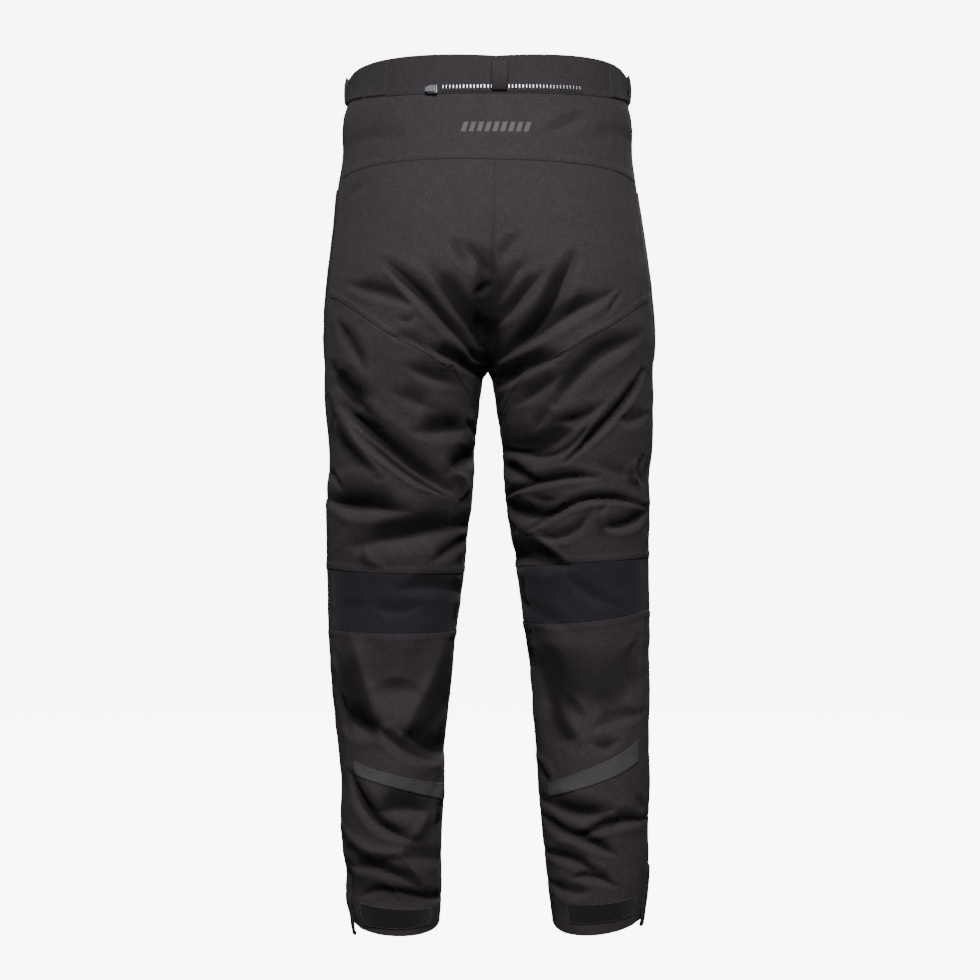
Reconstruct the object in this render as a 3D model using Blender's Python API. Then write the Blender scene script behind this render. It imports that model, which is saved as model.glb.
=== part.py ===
"""Motorcycle trousers in their worn shape with nobody in them.

Every piece that is cut and sewn is one thin-walled solid. Metres. The origin is the middle of
the waist at the height of its back edge, +X is the wearer's left, +Y the back and +Z up. A drop
is a distance below the origin. An angle runs round each leg: 0 at the inseam, 90 degrees at the
back, 180 at the outer side and 270 at the front.
"""
import math

import bmesh
import bpy
import numpy as np
from mathutils import Matrix, Vector

NAME = "motorcycle_trousers"
LEFT, RIGHT = 1, -1

# Walls and clearances
SEAM_GAP = 0.0003
CLOTH = 0.002
WAISTBAND = 0.0026
OVERLAY_LIFT = 0.0004
STRIP_LIFT = 0.0006
FRONT_LIFT = 0.0009
TAPE_WALL = 0.0010
PATCH_WALL = 0.0016
STRAP_WALL = 0.0015

# How square the rings are: 0 is an ellipse
SQUARENESS = 0.07
CROTCH_DROP = 0.3735
PANEL_WIDTH = 0.14
ANGLE_STEP = 0.03
DROP_STEP = 0.003

# Grid of the panels
BACK_COLUMNS = 12
FRONT_COLUMNS = 9

# Trim at the waist and the cuffs
TAB_WIDTH, TAB_LENGTH = 0.024, 0.075
LOOP_WIDTH = 0.019
BACK_LOOP_RISE, SIDE_LOOP_RISE = 0.0080, 0.0034
ZIP_START, ZIP_END = 6.7, 15.2
SLIDER_LENGTH, SLIDER_HEIGHT, SLIDER_DEPTH = 0.0125, 0.0105, 0.0042
PULL_LENGTH, PULL_HEIGHT, PULL_WALL = 0.0120, 0.0062, 0.0014
PULL_BARREL = 0.0011
EAR_WALL, EAR_LENGTH, EAR_RISE = 0.0010, 0.0030, 0.0030
SNAP_RADIUS, SNAP_DEPTH = 0.0065, 0.0024

BLACK_CLOTH = (0.045, 0.042, 0.045)
KNEE_CLOTH = (0.022, 0.022, 0.027)
WEBBING = (0.035, 0.035, 0.037)
REFLECTIVE = (0.075, 0.075, 0.08)
LOOP_PILE = (0.014, 0.014, 0.014)
METAL = (0.45, 0.47, 0.50)


def table(names, *rows):
    """Turn rows of numbers into columns that are read by name."""
    return dict(zip(names.split(), np.array(rows).T))


# Outline seen from behind: distance of each leg's outer and inner edge from the middle plane
OUTLINE = table(
    "drop left_outer left_inner right_outer right_inner",
    (0.000, 0.1725, 0.0000, 0.1715, 0.0000),
    (0.040, 0.1750, 0.0000, 0.1740, 0.0000),
    (0.055, 0.1800, 0.0000, 0.1780, 0.0000),
    (0.071, 0.1820, 0.0000, 0.1800, 0.0000),
    (0.105, 0.1815, 0.0000, 0.1800, 0.0000),
    (0.146, 0.1875, 0.0000, 0.1850, 0.0000),
    (0.196, 0.1920, 0.0000, 0.1922, 0.0000),
    (0.246, 0.1980, 0.0000, 0.1995, 0.0000),
    (0.296, 0.2020, 0.0000, 0.2035, 0.0000),
    (0.346, 0.2038, 0.0000, 0.2063, 0.0000),
    (0.3735, 0.2038, 0.0000, 0.2055, 0.0000),
    (0.3785, 0.2038, 0.0045, 0.2055, 0.0035),
    (0.392, 0.2038, 0.0078, 0.2060, 0.0065),
    (0.433, 0.2030, 0.0125, 0.2060, 0.0122),
    (0.458, 0.2000, 0.0150, 0.2060, 0.0160),
    (0.508, 0.1995, 0.0188, 0.2020, 0.0210),
    (0.533, 0.2022, 0.0210, 0.2030, 0.0228),
    (0.583, 0.2022, 0.0262, 0.2030, 0.0302),
    (0.633, 0.2020, 0.0308, 0.2030, 0.0375),
    (0.683, 0.2015, 0.0375, 0.2035, 0.0440),
    (0.733, 0.2000, 0.0457, 0.2025, 0.0502),
    (0.783, 0.1963, 0.0492, 0.2025, 0.0555),
    (0.833, 0.1890, 0.0522, 0.2025, 0.0608),
    (0.883, 0.1835, 0.0542, 0.2013, 0.0640),
    (0.933, 0.1840, 0.0560, 0.1995, 0.0668),
    (0.983, 0.1800, 0.0570, 0.2005, 0.0712),
    (1.033, 0.1760, 0.0592, 0.1963, 0.0762),
    (1.052, 0.1715, 0.0613, 0.1925, 0.0788),
    (1.080, 0.1660, 0.0635, 0.1880, 0.0805),
)

# Outline seen from the side, the middle of the leg's ring, and the angle of the side seam
PROFILE = table(
    "drop back middle front seam_angle",
    (0.000, 0.120, 0.000, -0.116, 168.0),
    (0.050, 0.126, 0.000, -0.121, 168.0),
    (0.127, 0.143, 0.003, -0.127, 166.0),
    (0.200, 0.156, 0.005, -0.131, 163.0),
    (0.275, 0.158, 0.006, -0.132, 160.0),
    (0.340, 0.147, 0.004, -0.129, 159.0),
    (0.395, 0.131, 0.001, -0.126, 159.0),
    (0.460, 0.112, -0.003, -0.122, 159.0),
    (0.540, 0.092, -0.011, -0.119, 157.0),
    (0.620, 0.070, -0.021, -0.117, 153.0),
    (0.690, 0.060, -0.025, -0.113, 149.0),
    (0.760, 0.066, -0.015, -0.098, 145.0),
    (0.850, 0.074, -0.001, -0.079, 143.0),
    (0.950, 0.071, 0.003, -0.068, 142.0),
    (1.080, 0.067, 0.003, -0.061, 140.0),
)

# Where the left and right halves meet above the crotch, as an angle of the ring
MEETING = table(
    "height back front",
    (-1.000, 0.0, 0.0),
    (0.000, 0.0, 0.0),
    (0.004, 13.0, 16.0),
    (0.020, 29.0, 38.0),
    (0.050, 46.0, 58.0),
    (0.100, 64.0, 76.0),
    (0.150, 77.0, 86.0),
    (0.200, 86.0, 90.0),
    (0.246, 90.0, 90.0),
    (1.000, 90.0, 90.0),
)

# The centre back seam wanders sideways a little
SWAY = table(
    "drop shift",
    (0.000, -0.0100),
    (0.127, -0.0077),
    (0.211, -0.0070),
    (0.286, -0.0036),
    (0.373, 0.0020),
    (0.430, 0.0000),
)

# Seams and edges that run round the body: rows of the grid down to the next line, then the drop
# at the back's inner edge, the middle of the back, the side, the middle of the front and the
# front's inner edge
LINE_NAMES = (
    "waist_seam", "yoke_seam", "crotch", "arch", "seat_seam", "knee_top", "knee_bottom",
    "tape_top", "tape_bottom", "patch_top", "patch_bottom", "hem",
)
LINE_COLUMNS = "rows back_inner back_middle side front_middle front_inner"
LINES = {
    LEFT: table(
        LINE_COLUMNS,
        (3, 0.0465, 0.0450, 0.0410, 0.0500, 0.0620),
        (8, 0.1280, 0.1279, 0.1395, 0.1480, 0.1600),
        (1, 0.3735, 0.3080, 0.2450, 0.3080, 0.3735),
        (3, 0.3785, 0.3140, 0.2535, 0.3140, 0.3785),
        (9, 0.4460, 0.3560, 0.2890, 0.3780, 0.4460),
        (3, 0.6248, 0.6235, 0.6188, 0.6240, 0.6248),
        (7, 0.6960, 0.6975, 0.6948, 0.6970, 0.6960),
        (1, 0.8875, 0.8725, 0.8470, 0.8600, 0.8818),
        (5, 0.9095, 0.8888, 0.8640, 0.8820, 0.9030),
        (1, 1.0302, 1.0340, 1.0240, 1.0120, 1.0200),
        (1, 1.0490, 1.0572, 1.0520, 1.0400, 1.0490),
        (0, 1.0585, 1.0668, 1.0595, 1.0480, 1.0585),
    ),
    RIGHT: table(
        LINE_COLUMNS,
        (3, 0.0465, 0.0450, 0.0425, 0.0500, 0.0620),
        (8, 0.1280, 0.1320, 0.1430, 0.1500, 0.1600),
        (1, 0.3735, 0.3100, 0.2500, 0.3080, 0.3735),
        (3, 0.3785, 0.3160, 0.2585, 0.3140, 0.3785),
        (9, 0.4520, 0.3650, 0.2970, 0.3800, 0.4520),
        (3, 0.6185, 0.6105, 0.6048, 0.6120, 0.6185),
        (7, 0.6860, 0.6845, 0.6700, 0.6800, 0.6860),
        (1, 0.8925, 0.8660, 0.8224, 0.8600, 0.8830),
        (5, 0.9050, 0.8866, 0.8502, 0.8820, 0.9010),
        (1, 1.0200, 1.0272, 1.0180, 1.0120, 1.0200),
        (1, 1.0480, 1.0512, 1.0400, 1.0390, 1.0480),
        (0, 1.0575, 1.0662, 1.0545, 1.0470, 1.0575),
    ),
}

# The seat's lower seam across the back, from the inseam to the side seam
SEAT_SEAM = table(
    "share left right",
    (0.00, 0.4540, 0.4560),
    (0.10, 0.4320, 0.4380),
    (0.18, 0.4110, 0.4200),
    (0.25, 0.3950, 0.4050),
    (0.33, 0.3765, 0.3880),
    (0.39, 0.3590, 0.3740),
    (0.50, 0.3405, 0.3485),
    (0.68, 0.3120, 0.3205),
    (0.85, 0.2935, 0.2992),
    (1.00, 0.2846, 0.2900),
)

# Waistband: drops of its top edge from the centre back round to the centre front, and the heights
# above its lower seam between which the zip's tape is sewn
BAND_TOP = (0.0000, -0.0025, 0.0060, 0.0150, 0.0200)
ZIP_TAPE_TOP, ZIP_TAPE_BOTTOM = 0.0100, 0.0020

# Folds: where each starts and ends, how far its middle bows, its half width and its depth
FOLD_COLUMNS = "start_x start_drop end_x end_drop bow half_width depth"
BACK_FOLDS = table(
    FOLD_COLUMNS,
    (0.120, 0.246, 0.024, 0.353, 0.004, 0.011, 0.0075),
    (0.066, 0.258, 0.018, 0.340, 0.003, 0.010, 0.0040),
    (0.162, 0.268, 0.100, 0.297, 0.000, 0.010, 0.0030),
    (-0.100, 0.240, -0.014, 0.366, -0.004, 0.011, 0.0085),
    (-0.140, 0.284, -0.032, 0.359, -0.003, 0.011, 0.0050),
    (-0.067, 0.255, -0.008, 0.306, 0.000, 0.010, 0.0040),
    (0.194, 0.348, 0.145, 0.428, 0.004, 0.013, 0.0055),
    (0.194, 0.412, 0.137, 0.491, 0.003, 0.012, 0.0055),
    (0.176, 0.420, 0.040, 0.520, 0.008, 0.014, 0.0065),
    (0.193, 0.514, 0.106, 0.547, 0.002, 0.012, 0.0050),
    (0.155, 0.588, 0.028, 0.556, -0.010, 0.012, 0.0055),
    (0.084, 0.450, 0.024, 0.435, 0.004, 0.011, 0.0040),
    (-0.186, 0.333, -0.078, 0.417, 0.000, 0.012, 0.0055),
    (-0.193, 0.374, -0.092, 0.487, -0.003, 0.013, 0.0080),
    (-0.133, 0.422, -0.036, 0.474, -0.002, 0.014, 0.0055),
    (-0.133, 0.505, -0.024, 0.529, 0.008, 0.012, 0.0050),
    (-0.191, 0.541, -0.050, 0.567, 0.010, 0.012, 0.0055),
    (-0.120, 0.555, -0.062, 0.578, -0.005, 0.011, 0.0045),
    (0.110, 0.641, 0.040, 0.655, 0.000, 0.011, 0.0030),
    (0.146, 0.767, 0.078, 0.769, -0.012, 0.012, 0.0040),
    (0.152, 0.836, 0.064, 0.851, -0.012, 0.012, 0.0050),
    (0.150, 0.906, 0.093, 0.947, 0.002, 0.012, 0.0050),
    (0.172, 0.952, 0.104, 0.969, 0.000, 0.011, 0.0040),
    (0.164, 0.980, 0.086, 0.999, 0.003, 0.011, 0.0040),
    (-0.083, 0.780, -0.110, 0.823, 0.000, 0.011, 0.0035),
    (-0.130, 0.812, -0.186, 0.791, 0.003, 0.012, 0.0040),
    (-0.080, 0.906, -0.143, 0.914, 0.006, 0.011, 0.0040),
    (-0.118, 0.939, -0.188, 0.932, -0.006, 0.012, 0.0045),
    (-0.094, 0.946, -0.152, 0.963, 0.000, 0.011, 0.0030),
    (-0.076, 0.966, -0.128, 0.982, 0.002, 0.011, 0.0040),
    (-0.103, 0.998, -0.153, 1.004, 0.002, 0.011, 0.0030),
)
FRONT_FOLDS = table(
    FOLD_COLUMNS,
    (0.020, 0.345, 0.120, 0.290, 0.008, 0.012, 0.0050),
    (0.024, 0.375, 0.150, 0.340, 0.010, 0.013, 0.0060),
    (0.030, 0.430, 0.165, 0.405, 0.010, 0.013, 0.0045),
    (0.190, 0.470, 0.100, 0.520, 0.004, 0.013, 0.0050),
    (0.050, 0.600, 0.170, 0.590, 0.010, 0.012, 0.0035),
    (0.060, 0.775, 0.180, 0.765, -0.012, 0.013, 0.0055),
    (0.070, 0.820, 0.165, 0.830, -0.010, 0.012, 0.0050),
    (0.075, 0.900, 0.160, 0.880, 0.006, 0.012, 0.0040),
    (0.070, 0.960, 0.165, 0.975, 0.008, 0.012, 0.0045),
    (-0.022, 0.340, -0.115, 0.280, -0.008, 0.012, 0.0055),
    (-0.026, 0.380, -0.155, 0.335, -0.010, 0.013, 0.0060),
    (-0.034, 0.440, -0.160, 0.420, -0.008, 0.013, 0.0040),
    (-0.192, 0.490, -0.095, 0.545, -0.004, 0.013, 0.0050),
    (-0.060, 0.610, -0.175, 0.585, -0.008, 0.012, 0.0035),
    (-0.065, 0.765, -0.190, 0.785, 0.012, 0.013, 0.0055),
    (-0.080, 0.835, -0.180, 0.820, 0.010, 0.012, 0.0045),
    (-0.085, 0.915, -0.175, 0.905, -0.006, 0.012, 0.0040),
    (-0.085, 0.975, -0.175, 0.960, -0.008, 0.012, 0.0045),
)


def curve(rows, name, at, key="drop"):
    """Read one column of a table anywhere, on a smooth curve through its rows."""
    places, values = rows[key], rows[name]
    slopes = np.gradient(values, places)
    at = np.clip(at, places[0], places[-1])
    row = np.clip(np.searchsorted(places, at) - 1, 0, len(places) - 2)
    span = places[row + 1] - places[row]
    share = (at - places[row]) / span
    start = (1 + 2 * share) * (1 - share) ** 2 * values[row]
    start += share * (1 - share) ** 2 * span * slopes[row]
    end = share ** 2 * (3 - 2 * share) * values[row + 1]
    end += share ** 2 * (share - 1) * span * slopes[row + 1]
    return start + end


def squared_cos(angle):
    return np.cos(angle) * (1 + SQUARENESS * np.sin(angle) ** 2)


def squared_sin(angle):
    return np.sin(angle) * (1 + SQUARENESS * np.cos(angle) ** 2)


def meeting_angle(drop, face):
    """Angle at which this half meets the other one; 0 below the crotch."""
    height = CROTCH_DROP - drop
    return np.radians(np.interp(height, MEETING["height"], MEETING[face]))


def seam_angle(drop):
    return np.radians(curve(PROFILE, "seam_angle", drop))


def fold_depth(x, drop, folds):
    """Depth of the creases at points seen flat: a trough with a low ridge on either side."""
    total = np.zeros_like(x)
    for start_x, start_drop, end_x, end_drop, bow, half_width, depth in zip(*folds.values()):
        run_x, run_drop = end_x - start_x, end_drop - start_drop
        length = math.hypot(run_x, run_drop)
        along = ((x - start_x) * run_x + (drop - start_drop) * run_drop) / length ** 2
        aside = ((x - start_x) * run_drop - (drop - start_drop) * run_x) / length
        off = (aside - 4 * bow * along * (1 - along)) / half_width
        taper = np.clip(1 - np.abs(2 * along - 1) ** 3, 0, 1)
        total += depth * taper * (1 - 0.7 * off ** 2) * np.exp(-0.75 * off ** 2)
    return total


def surface(side, angle, drop, closed=True):
    """Points of the cloth's outer face, for arrays of angles and drops."""
    leg = "left" if side == LEFT else "right"
    outer = curve(OUTLINE, leg + "_outer", drop)
    inner = np.maximum(curve(OUTLINE, leg + "_inner", drop), SEAM_GAP / 2)
    on_back = np.sin(angle) > 0
    meet = np.where(on_back, meeting_angle(drop, "back"), meeting_angle(drop, "front"))
    open_to = squared_cos(meet)
    half_width = (outer - inner) / (1 + open_to)
    middle = curve(PROFILE, "middle", drop)
    reach = np.where(on_back, curve(PROFILE, "back", drop), curve(PROFILE, "front", drop))
    depth = np.abs(reach - middle)
    x = inner + half_width * (open_to - squared_cos(angle))
    y = middle + depth * squared_sin(angle)
    out_x, out_y = -np.cos(angle) / half_width, np.sin(angle) / depth
    size = np.hypot(out_x, out_y)
    back_share = np.clip(0.5 + 2.5 * np.sin(angle), 0, 1)
    dent = fold_depth(x * side, drop, BACK_FOLDS) * back_share
    dent += fold_depth(x * side, drop, FRONT_FOLDS) * (1 - back_share)
    dent *= np.clip((drop - 0.16) / 0.06, 0, 1)
    x = x - dent * out_x / size
    y = y - dent * out_y / size
    if closed:
        one_ring = np.abs(open_to) < 1e-9
        x = np.where(one_ring, x, np.maximum(x, SEAM_GAP / 2))
    x = x * side + curve(SWAY, "shift", drop) * np.clip(np.sin(angle), 0, 1) ** 1.5
    return np.stack([x, y, -drop], axis=-1)


def outward(side, angle, drop):
    """Unit normals of the outer face."""
    turn = surface(side, angle + ANGLE_STEP, drop, False)
    turn = turn - surface(side, angle - ANGLE_STEP, drop, False)
    fall = surface(side, angle, drop + DROP_STEP, False)
    fall = fall - surface(side, angle, drop - DROP_STEP, False)
    normal = side * np.cross(turn, fall)
    return normal / np.linalg.norm(normal, axis=-1, keepdims=True)


def line_drop(side, face, name, share):
    """Drop of a line across a panel, share 0 to 1 from the back's inner edge or the side seam."""
    if face == "back" and name == "seat_seam":
        return np.interp(share, SEAT_SEAM["share"], SEAT_SEAM["left" if side == LEFT else "right"])
    row = LINE_NAMES.index(name)
    corners = ("back_inner", "back_middle", "side")
    if face == "front":
        corners = ("side", "front_middle", "front_inner")
    first, middle, last = (LINES[side][corner][row] for corner in corners)
    return (first * (1 - share) * (1 - 2 * share) + 4 * middle * share * (1 - share)
            + last * share * (2 * share - 1))


def panel_grid(side, face, first_line, last_line, columns):
    """Angles and drops of a panel's grid, kept half a gap inside its seams."""
    names = LINE_NAMES[LINE_NAMES.index(first_line):LINE_NAMES.index(last_line) + 1]
    share = np.linspace(0, 1, columns + 1)
    drops = []
    for upper, lower in zip(names, names[1:]):
        top = line_drop(side, face, upper, share)
        bottom = line_drop(side, face, lower, share)
        rows = int(LINES[side]["rows"][LINE_NAMES.index(upper)])
        drops += [top + (bottom - top) * step / rows for step in range(rows)]
    drops.append(bottom)
    drops = np.array(drops)
    for row, inside in ((0, 1), (-1, -1)):
        lean = np.hypot(1, np.gradient(drops[row], share) / PANEL_WIDTH)
        drops[row] += inside * lean * SEAM_GAP / 2
    if face == "back":
        start, end = meeting_angle(drops, "back"), seam_angle(drops)
    else:
        start, end = seam_angle(drops), 2 * math.pi - meeting_angle(drops, "front")
    girth = np.maximum(curve(OUTLINE, "left_outer", drops), 0.1) / 2
    start = start + SEAM_GAP / 2 / girth
    end = end - SEAM_GAP / 2 / girth
    return start + (end - start) * share, drops


def band_grid(face, columns, side=LEFT):
    """Angles, drops and sides of the waistband: the whole back, or one front."""
    half = np.linspace(0, 1, columns + 1)
    back_top, back_middle, side_top, front_middle, front_top = BAND_TOP
    if face == "back":
        first, middle, last = back_top, back_middle, side_top
    else:
        first, middle, last = side_top, front_middle, front_top
    top = first * (1 - half) * (1 - 2 * half) + 4 * middle * half * (1 - half)
    top = top + last * half * (2 * half - 1)
    seam = line_drop(side, face, "waist_seam", half) - SEAM_GAP / 2
    zip_top, zip_bottom = seam - ZIP_TAPE_TOP, seam - ZIP_TAPE_BOTTOM
    drops = np.array([top, (top + zip_top) / 2, zip_top, zip_bottom, seam])
    inset = SEAM_GAP / 2 / curve(OUTLINE, "left_outer", drops)
    if face == "back":
        start, end = np.full_like(drops, math.pi / 2), seam_angle(drops) - inset
    else:
        start, end = seam_angle(drops) + inset, 1.5 * math.pi - inset
    return start + (end - start) * half, drops


def solve(side, angles, drops):
    """Points and normals of a grid on the cloth."""
    return surface(side, angles, drops), outward(side, angles, drops)


def whole_back(grid_of_side):
    """Join the right half, mirrored in order, to the left half of a piece that spans the back."""
    right_points, right_normals = solve(RIGHT, *grid_of_side(RIGHT))
    left_points, left_normals = solve(LEFT, *grid_of_side(LEFT))
    points = np.concatenate([right_points[:, :0:-1], left_points], axis=1)
    normals = np.concatenate([right_normals[:, :0:-1], left_normals], axis=1)
    return points, normals


def material(name, colour, roughness, metallic=0.0):
    made = bpy.data.materials.get(name)
    if made is None:
        made = bpy.data.materials.new(name)
        made.use_nodes = True
        shader = made.node_tree.nodes["Principled BSDF"]
        shader.inputs["Base Color"].default_value = (*colour, 1.0)
        shader.inputs["Roughness"].default_value = roughness
        shader.inputs["Metallic"].default_value = metallic
    return made


def add_object(name, mesh, finish):
    """Put a finished bmesh in the trousers' collection."""
    bmesh.ops.recalc_face_normals(mesh, faces=mesh.faces)
    if mesh.calc_volume(signed=True) < 0:
        bmesh.ops.reverse_faces(mesh, faces=mesh.faces)
    data = bpy.data.meshes.new(name)
    mesh.to_mesh(data)
    mesh.free()
    data.materials.append(finish)
    made = bpy.data.objects.new(name, data)
    bpy.data.collections[NAME].objects.link(made)
    return made


def slab(name, points, normals, low, high, finish):
    """A wall over a grid of points: a plane grid extruded, its faces moved out by low and high."""
    rows, columns = points.shape[:2]
    mesh = bmesh.new()
    bmesh.ops.create_grid(mesh, x_segments=columns - 1, y_segments=rows - 1, size=0.5)
    under = [vert for vert in mesh.verts]
    grown = bmesh.ops.extrude_face_region(mesh, geom=list(mesh.faces))
    over = [item for item in grown["geom"] if isinstance(item, bmesh.types.BMVert)]
    for verts, height in ((under, low), (over, high)):
        height = np.broadcast_to(height, (rows, columns))
        for vert in verts:
            column = round((vert.co.x + 0.5) * (columns - 1))
            row = round((0.5 - vert.co.y) * (rows - 1))
            vert.co = Vector(points[row, column] + normals[row, column] * height[row, column])
    return add_object(name, mesh, finish)


def steps(start, stop):
    """Both ends of a stretch of grid and every grid line between them."""
    return np.array([start, *range(math.floor(start) + 1, math.ceil(stop)), stop], dtype=float)


def between(grid, rows, columns):
    """Read a grid of points between its lines."""
    row = np.minimum(rows.astype(int), grid.shape[0] - 2)
    column = np.minimum(columns.astype(int), grid.shape[1] - 2)
    down = (rows - row)[:, None, None]
    over = (columns - column)[None, :, None]
    top = grid[row][:, column] * (1 - over) + grid[row][:, column + 1] * over
    bottom = grid[row + 1][:, column] * (1 - over) + grid[row + 1][:, column + 1] * over
    return top * (1 - down) + bottom * down


def overlay(name, panel, rows, columns, wall, finish, lift=OVERLAY_LIFT):
    """A flat piece sewn on a panel: the panel's own points, moved out."""
    points, normals = (between(grid, steps(*rows), steps(*columns)) for grid in panel)
    return slab(name, points, normals, lift, lift + wall, finish)


def row_of(side, name):
    """Row number, below the waist seam, at which a line lies."""
    return int(sum(LINES[side]["rows"][:LINE_NAMES.index(name)]))


def strip_on_cloth(name, side, centre, width, drops, rise, wall, finish):
    """A strip that runs down the cloth at one angle, standing off it by rise at each drop."""
    share = np.linspace(-0.5, 0.5, 3)
    drops = np.repeat(np.array(drops)[:, None], 3, axis=1)
    turn = surface(side, centre + ANGLE_STEP, drops, False)
    turn = turn - surface(side, centre - ANGLE_STEP, drops, False)
    radius = np.linalg.norm(turn, axis=-1) / (2 * ANGLE_STEP)
    points, normals = solve(side, centre + share * width / radius, drops)
    low = np.repeat(np.array(rise)[:, None], 3, axis=1)
    return slab(name, points, normals, low, low + wall, finish)


def make_panels(cloth, knee_cloth):
    """Seat, back thigh, knee band and calf of each leg, its front thigh, knee and shin, the yoke."""
    panels = {}
    for side, leg in ((LEFT, "left"), (RIGHT, "right")):
        stretches = (
            ("seat", "back", "yoke_seam", "seat_seam", BACK_COLUMNS, cloth),
            ("thigh_back", "back", "seat_seam", "knee_top", BACK_COLUMNS, cloth),
            ("knee_band", "back", "knee_top", "knee_bottom", BACK_COLUMNS, knee_cloth),
            ("calf", "back", "knee_bottom", "hem", BACK_COLUMNS, cloth),
            ("front_thigh", "front", "waist_seam", "knee_top", FRONT_COLUMNS, cloth),
            ("knee_front", "front", "knee_top", "knee_bottom", FRONT_COLUMNS, cloth),
            ("shin", "front", "knee_bottom", "hem", FRONT_COLUMNS, cloth),
        )
        for piece, face, first, last, columns, finish in stretches:
            panel = solve(side, *panel_grid(side, face, first, last, columns))
            panels[piece, side] = panel
            slab(f"{piece}_{leg}", *panel, -CLOTH, 0.0, finish)
    yoke = whole_back(
        lambda side: panel_grid(side, "back", "waist_seam", "yoke_seam", BACK_COLUMNS))
    slab("yoke_back", *yoke, -CLOTH, 0.0, cloth)
    return panels


def make_waistband(cloth):
    panels = {"back": whole_back(lambda side: band_grid("back", BACK_COLUMNS, side))}
    slab("waistband_back", *panels["back"], -WAISTBAND, 0.0, cloth)
    for side, leg in ((LEFT, "left"), (RIGHT, "right")):
        panels[side] = solve(side, *band_grid("front", FRONT_COLUMNS, side))
        slab(f"waistband_front_{leg}", *panels[side], -WAISTBAND, 0.0, cloth)
    return panels


def make_leg_trim(panels, reflective, pile, webbing, cloth):
    """Reflective tape, cuff patch, cuff tab and pocket welt of each leg, and the fly."""
    calf_top = row_of(LEFT, "knee_bottom")
    for side, leg in ((LEFT, "left"), (RIGHT, "right")):
        calf, front = panels["calf", side], panels["front_thigh", side]
        tape_rows = (row_of(side, "tape_top") - calf_top, row_of(side, "tape_bottom") - calf_top)
        tape_ends = (1.0, 10.9) if side == LEFT else (3.0, 11.4)
        overlay(f"reflective_tape_{leg}", calf, tape_rows, tape_ends, TAPE_WALL, reflective)
        patch_rows = (row_of(side, "patch_top") - calf_top, row_of(side, "patch_bottom") - calf_top)
        patch_ends = (3.2, 11.0) if side == LEFT else (4.5, 11.6)
        overlay(f"cuff_loop_patch_{leg}", calf, patch_rows, patch_ends, PATCH_WALL, pile)
        welt_rows = (row_of(side, "yoke_seam") + 0.3, row_of(side, "seat_seam") + 1.2)
        overlay(f"pocket_welt_{leg}", front, welt_rows, (1.3, 2.1), STRAP_WALL, cloth, FRONT_LIFT)
        tab_end = 1.072 if side == LEFT else 1.061
        tab_drops = np.linspace(tab_end - TAB_LENGTH, tab_end, 5)
        strip_on_cloth(f"cuff_tab_{leg}", side, math.radians(162), TAB_WIDTH, tab_drops,
                       [STRIP_LIFT] * 5, STRAP_WALL, webbing)
    fly_rows = (0.15, row_of(LEFT, "yoke_seam") + 3.6)
    overlay("fly_facing", panels["front_thigh", LEFT], fly_rows, (7.35, 9.0), STRAP_WALL, cloth,
            FRONT_LIFT)


def make_waist_trim(panels, webbing, tape, cloth):
    """Side tabs and straps, belt loops, the front tab and half of a connecting zip."""
    middle = BACK_COLUMNS
    for side, leg, tab_start, tab_end in ((LEFT, "left", 6.95, 9.1), (RIGHT, "right", 8.3, 10.1)):
        outer = (middle + tab_start * side, middle + tab_end * side)
        overlay(f"side_tab_{leg}", panels["back"], (0.15, 3.4), sorted(outer), STRAP_WALL, webbing)
        strap = (middle + (tab_end + 0.1) * side, middle + 11.9 * side)
        overlay(f"adjuster_strap_back_{leg}", panels["back"], (0.25, 3.2), sorted(strap),
                STRAP_WALL, webbing)
        overlay(f"adjuster_strap_front_{leg}", panels[side], (0.25, 3.2), (0.1, 4.0),
                STRAP_WALL, webbing)
    overlay("connecting_zip_tape", panels["back"], (2.0, 3.0), (ZIP_START, ZIP_END), TAPE_WALL, tape)
    overlay("front_tab", panels[LEFT], (0.4, 3.3), (7.0, 9.0), STRAP_WALL, cloth)


def make_belt_loops(webbing):
    """One loop at the centre back and one on each side, over the adjuster strap."""
    on_strap = OVERLAY_LIFT + STRAP_WALL + SEAM_GAP
    on_tape = OVERLAY_LIFT + TAPE_WALL + 2 * SEAM_GAP
    loops = (
        ("belt_loop_back", RIGHT, 91.4, 0.0035, 0.0435, SEAM_GAP, on_tape, BACK_LOOP_RISE),
        ("belt_loop_left", LEFT, 181.0, 0.0065, 0.0400, on_strap, on_strap, SIDE_LOOP_RISE),
        ("belt_loop_right", RIGHT, 181.0, 0.0040, 0.0390, on_strap, on_strap, SIDE_LOOP_RISE),
    )
    share = np.linspace(0, 1, 9)
    for name, side, angle, top, bottom, top_seat, bottom_seat, height in loops:
        drops = top + (bottom - top) * share
        rise = top_seat + (bottom_seat - top_seat) * share
        rise = rise + height * np.sin(math.pi * share) ** 0.6
        strip_on_cloth(name, side, math.radians(angle), LOOP_WIDTH, drops, rise, STRAP_WALL,
                       webbing)


def standing_frame(point, normal):
    """Matrix whose Y points out of the cloth and whose Z is up."""
    out = Vector((normal[0], normal[1], 0)).normalized()
    up = Vector((0, 0, 1))
    across = out.cross(up)
    matrix = Matrix((across, out, up)).transposed().to_4x4()
    matrix.translation = Vector(point)
    return matrix


def box(mesh, size, centre):
    """A box added to a bmesh."""
    place = Matrix.Translation(centre) @ Matrix.Diagonal((*size, 1.0))
    return bmesh.ops.create_cube(mesh, size=1.0, matrix=place)["verts"]


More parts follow.
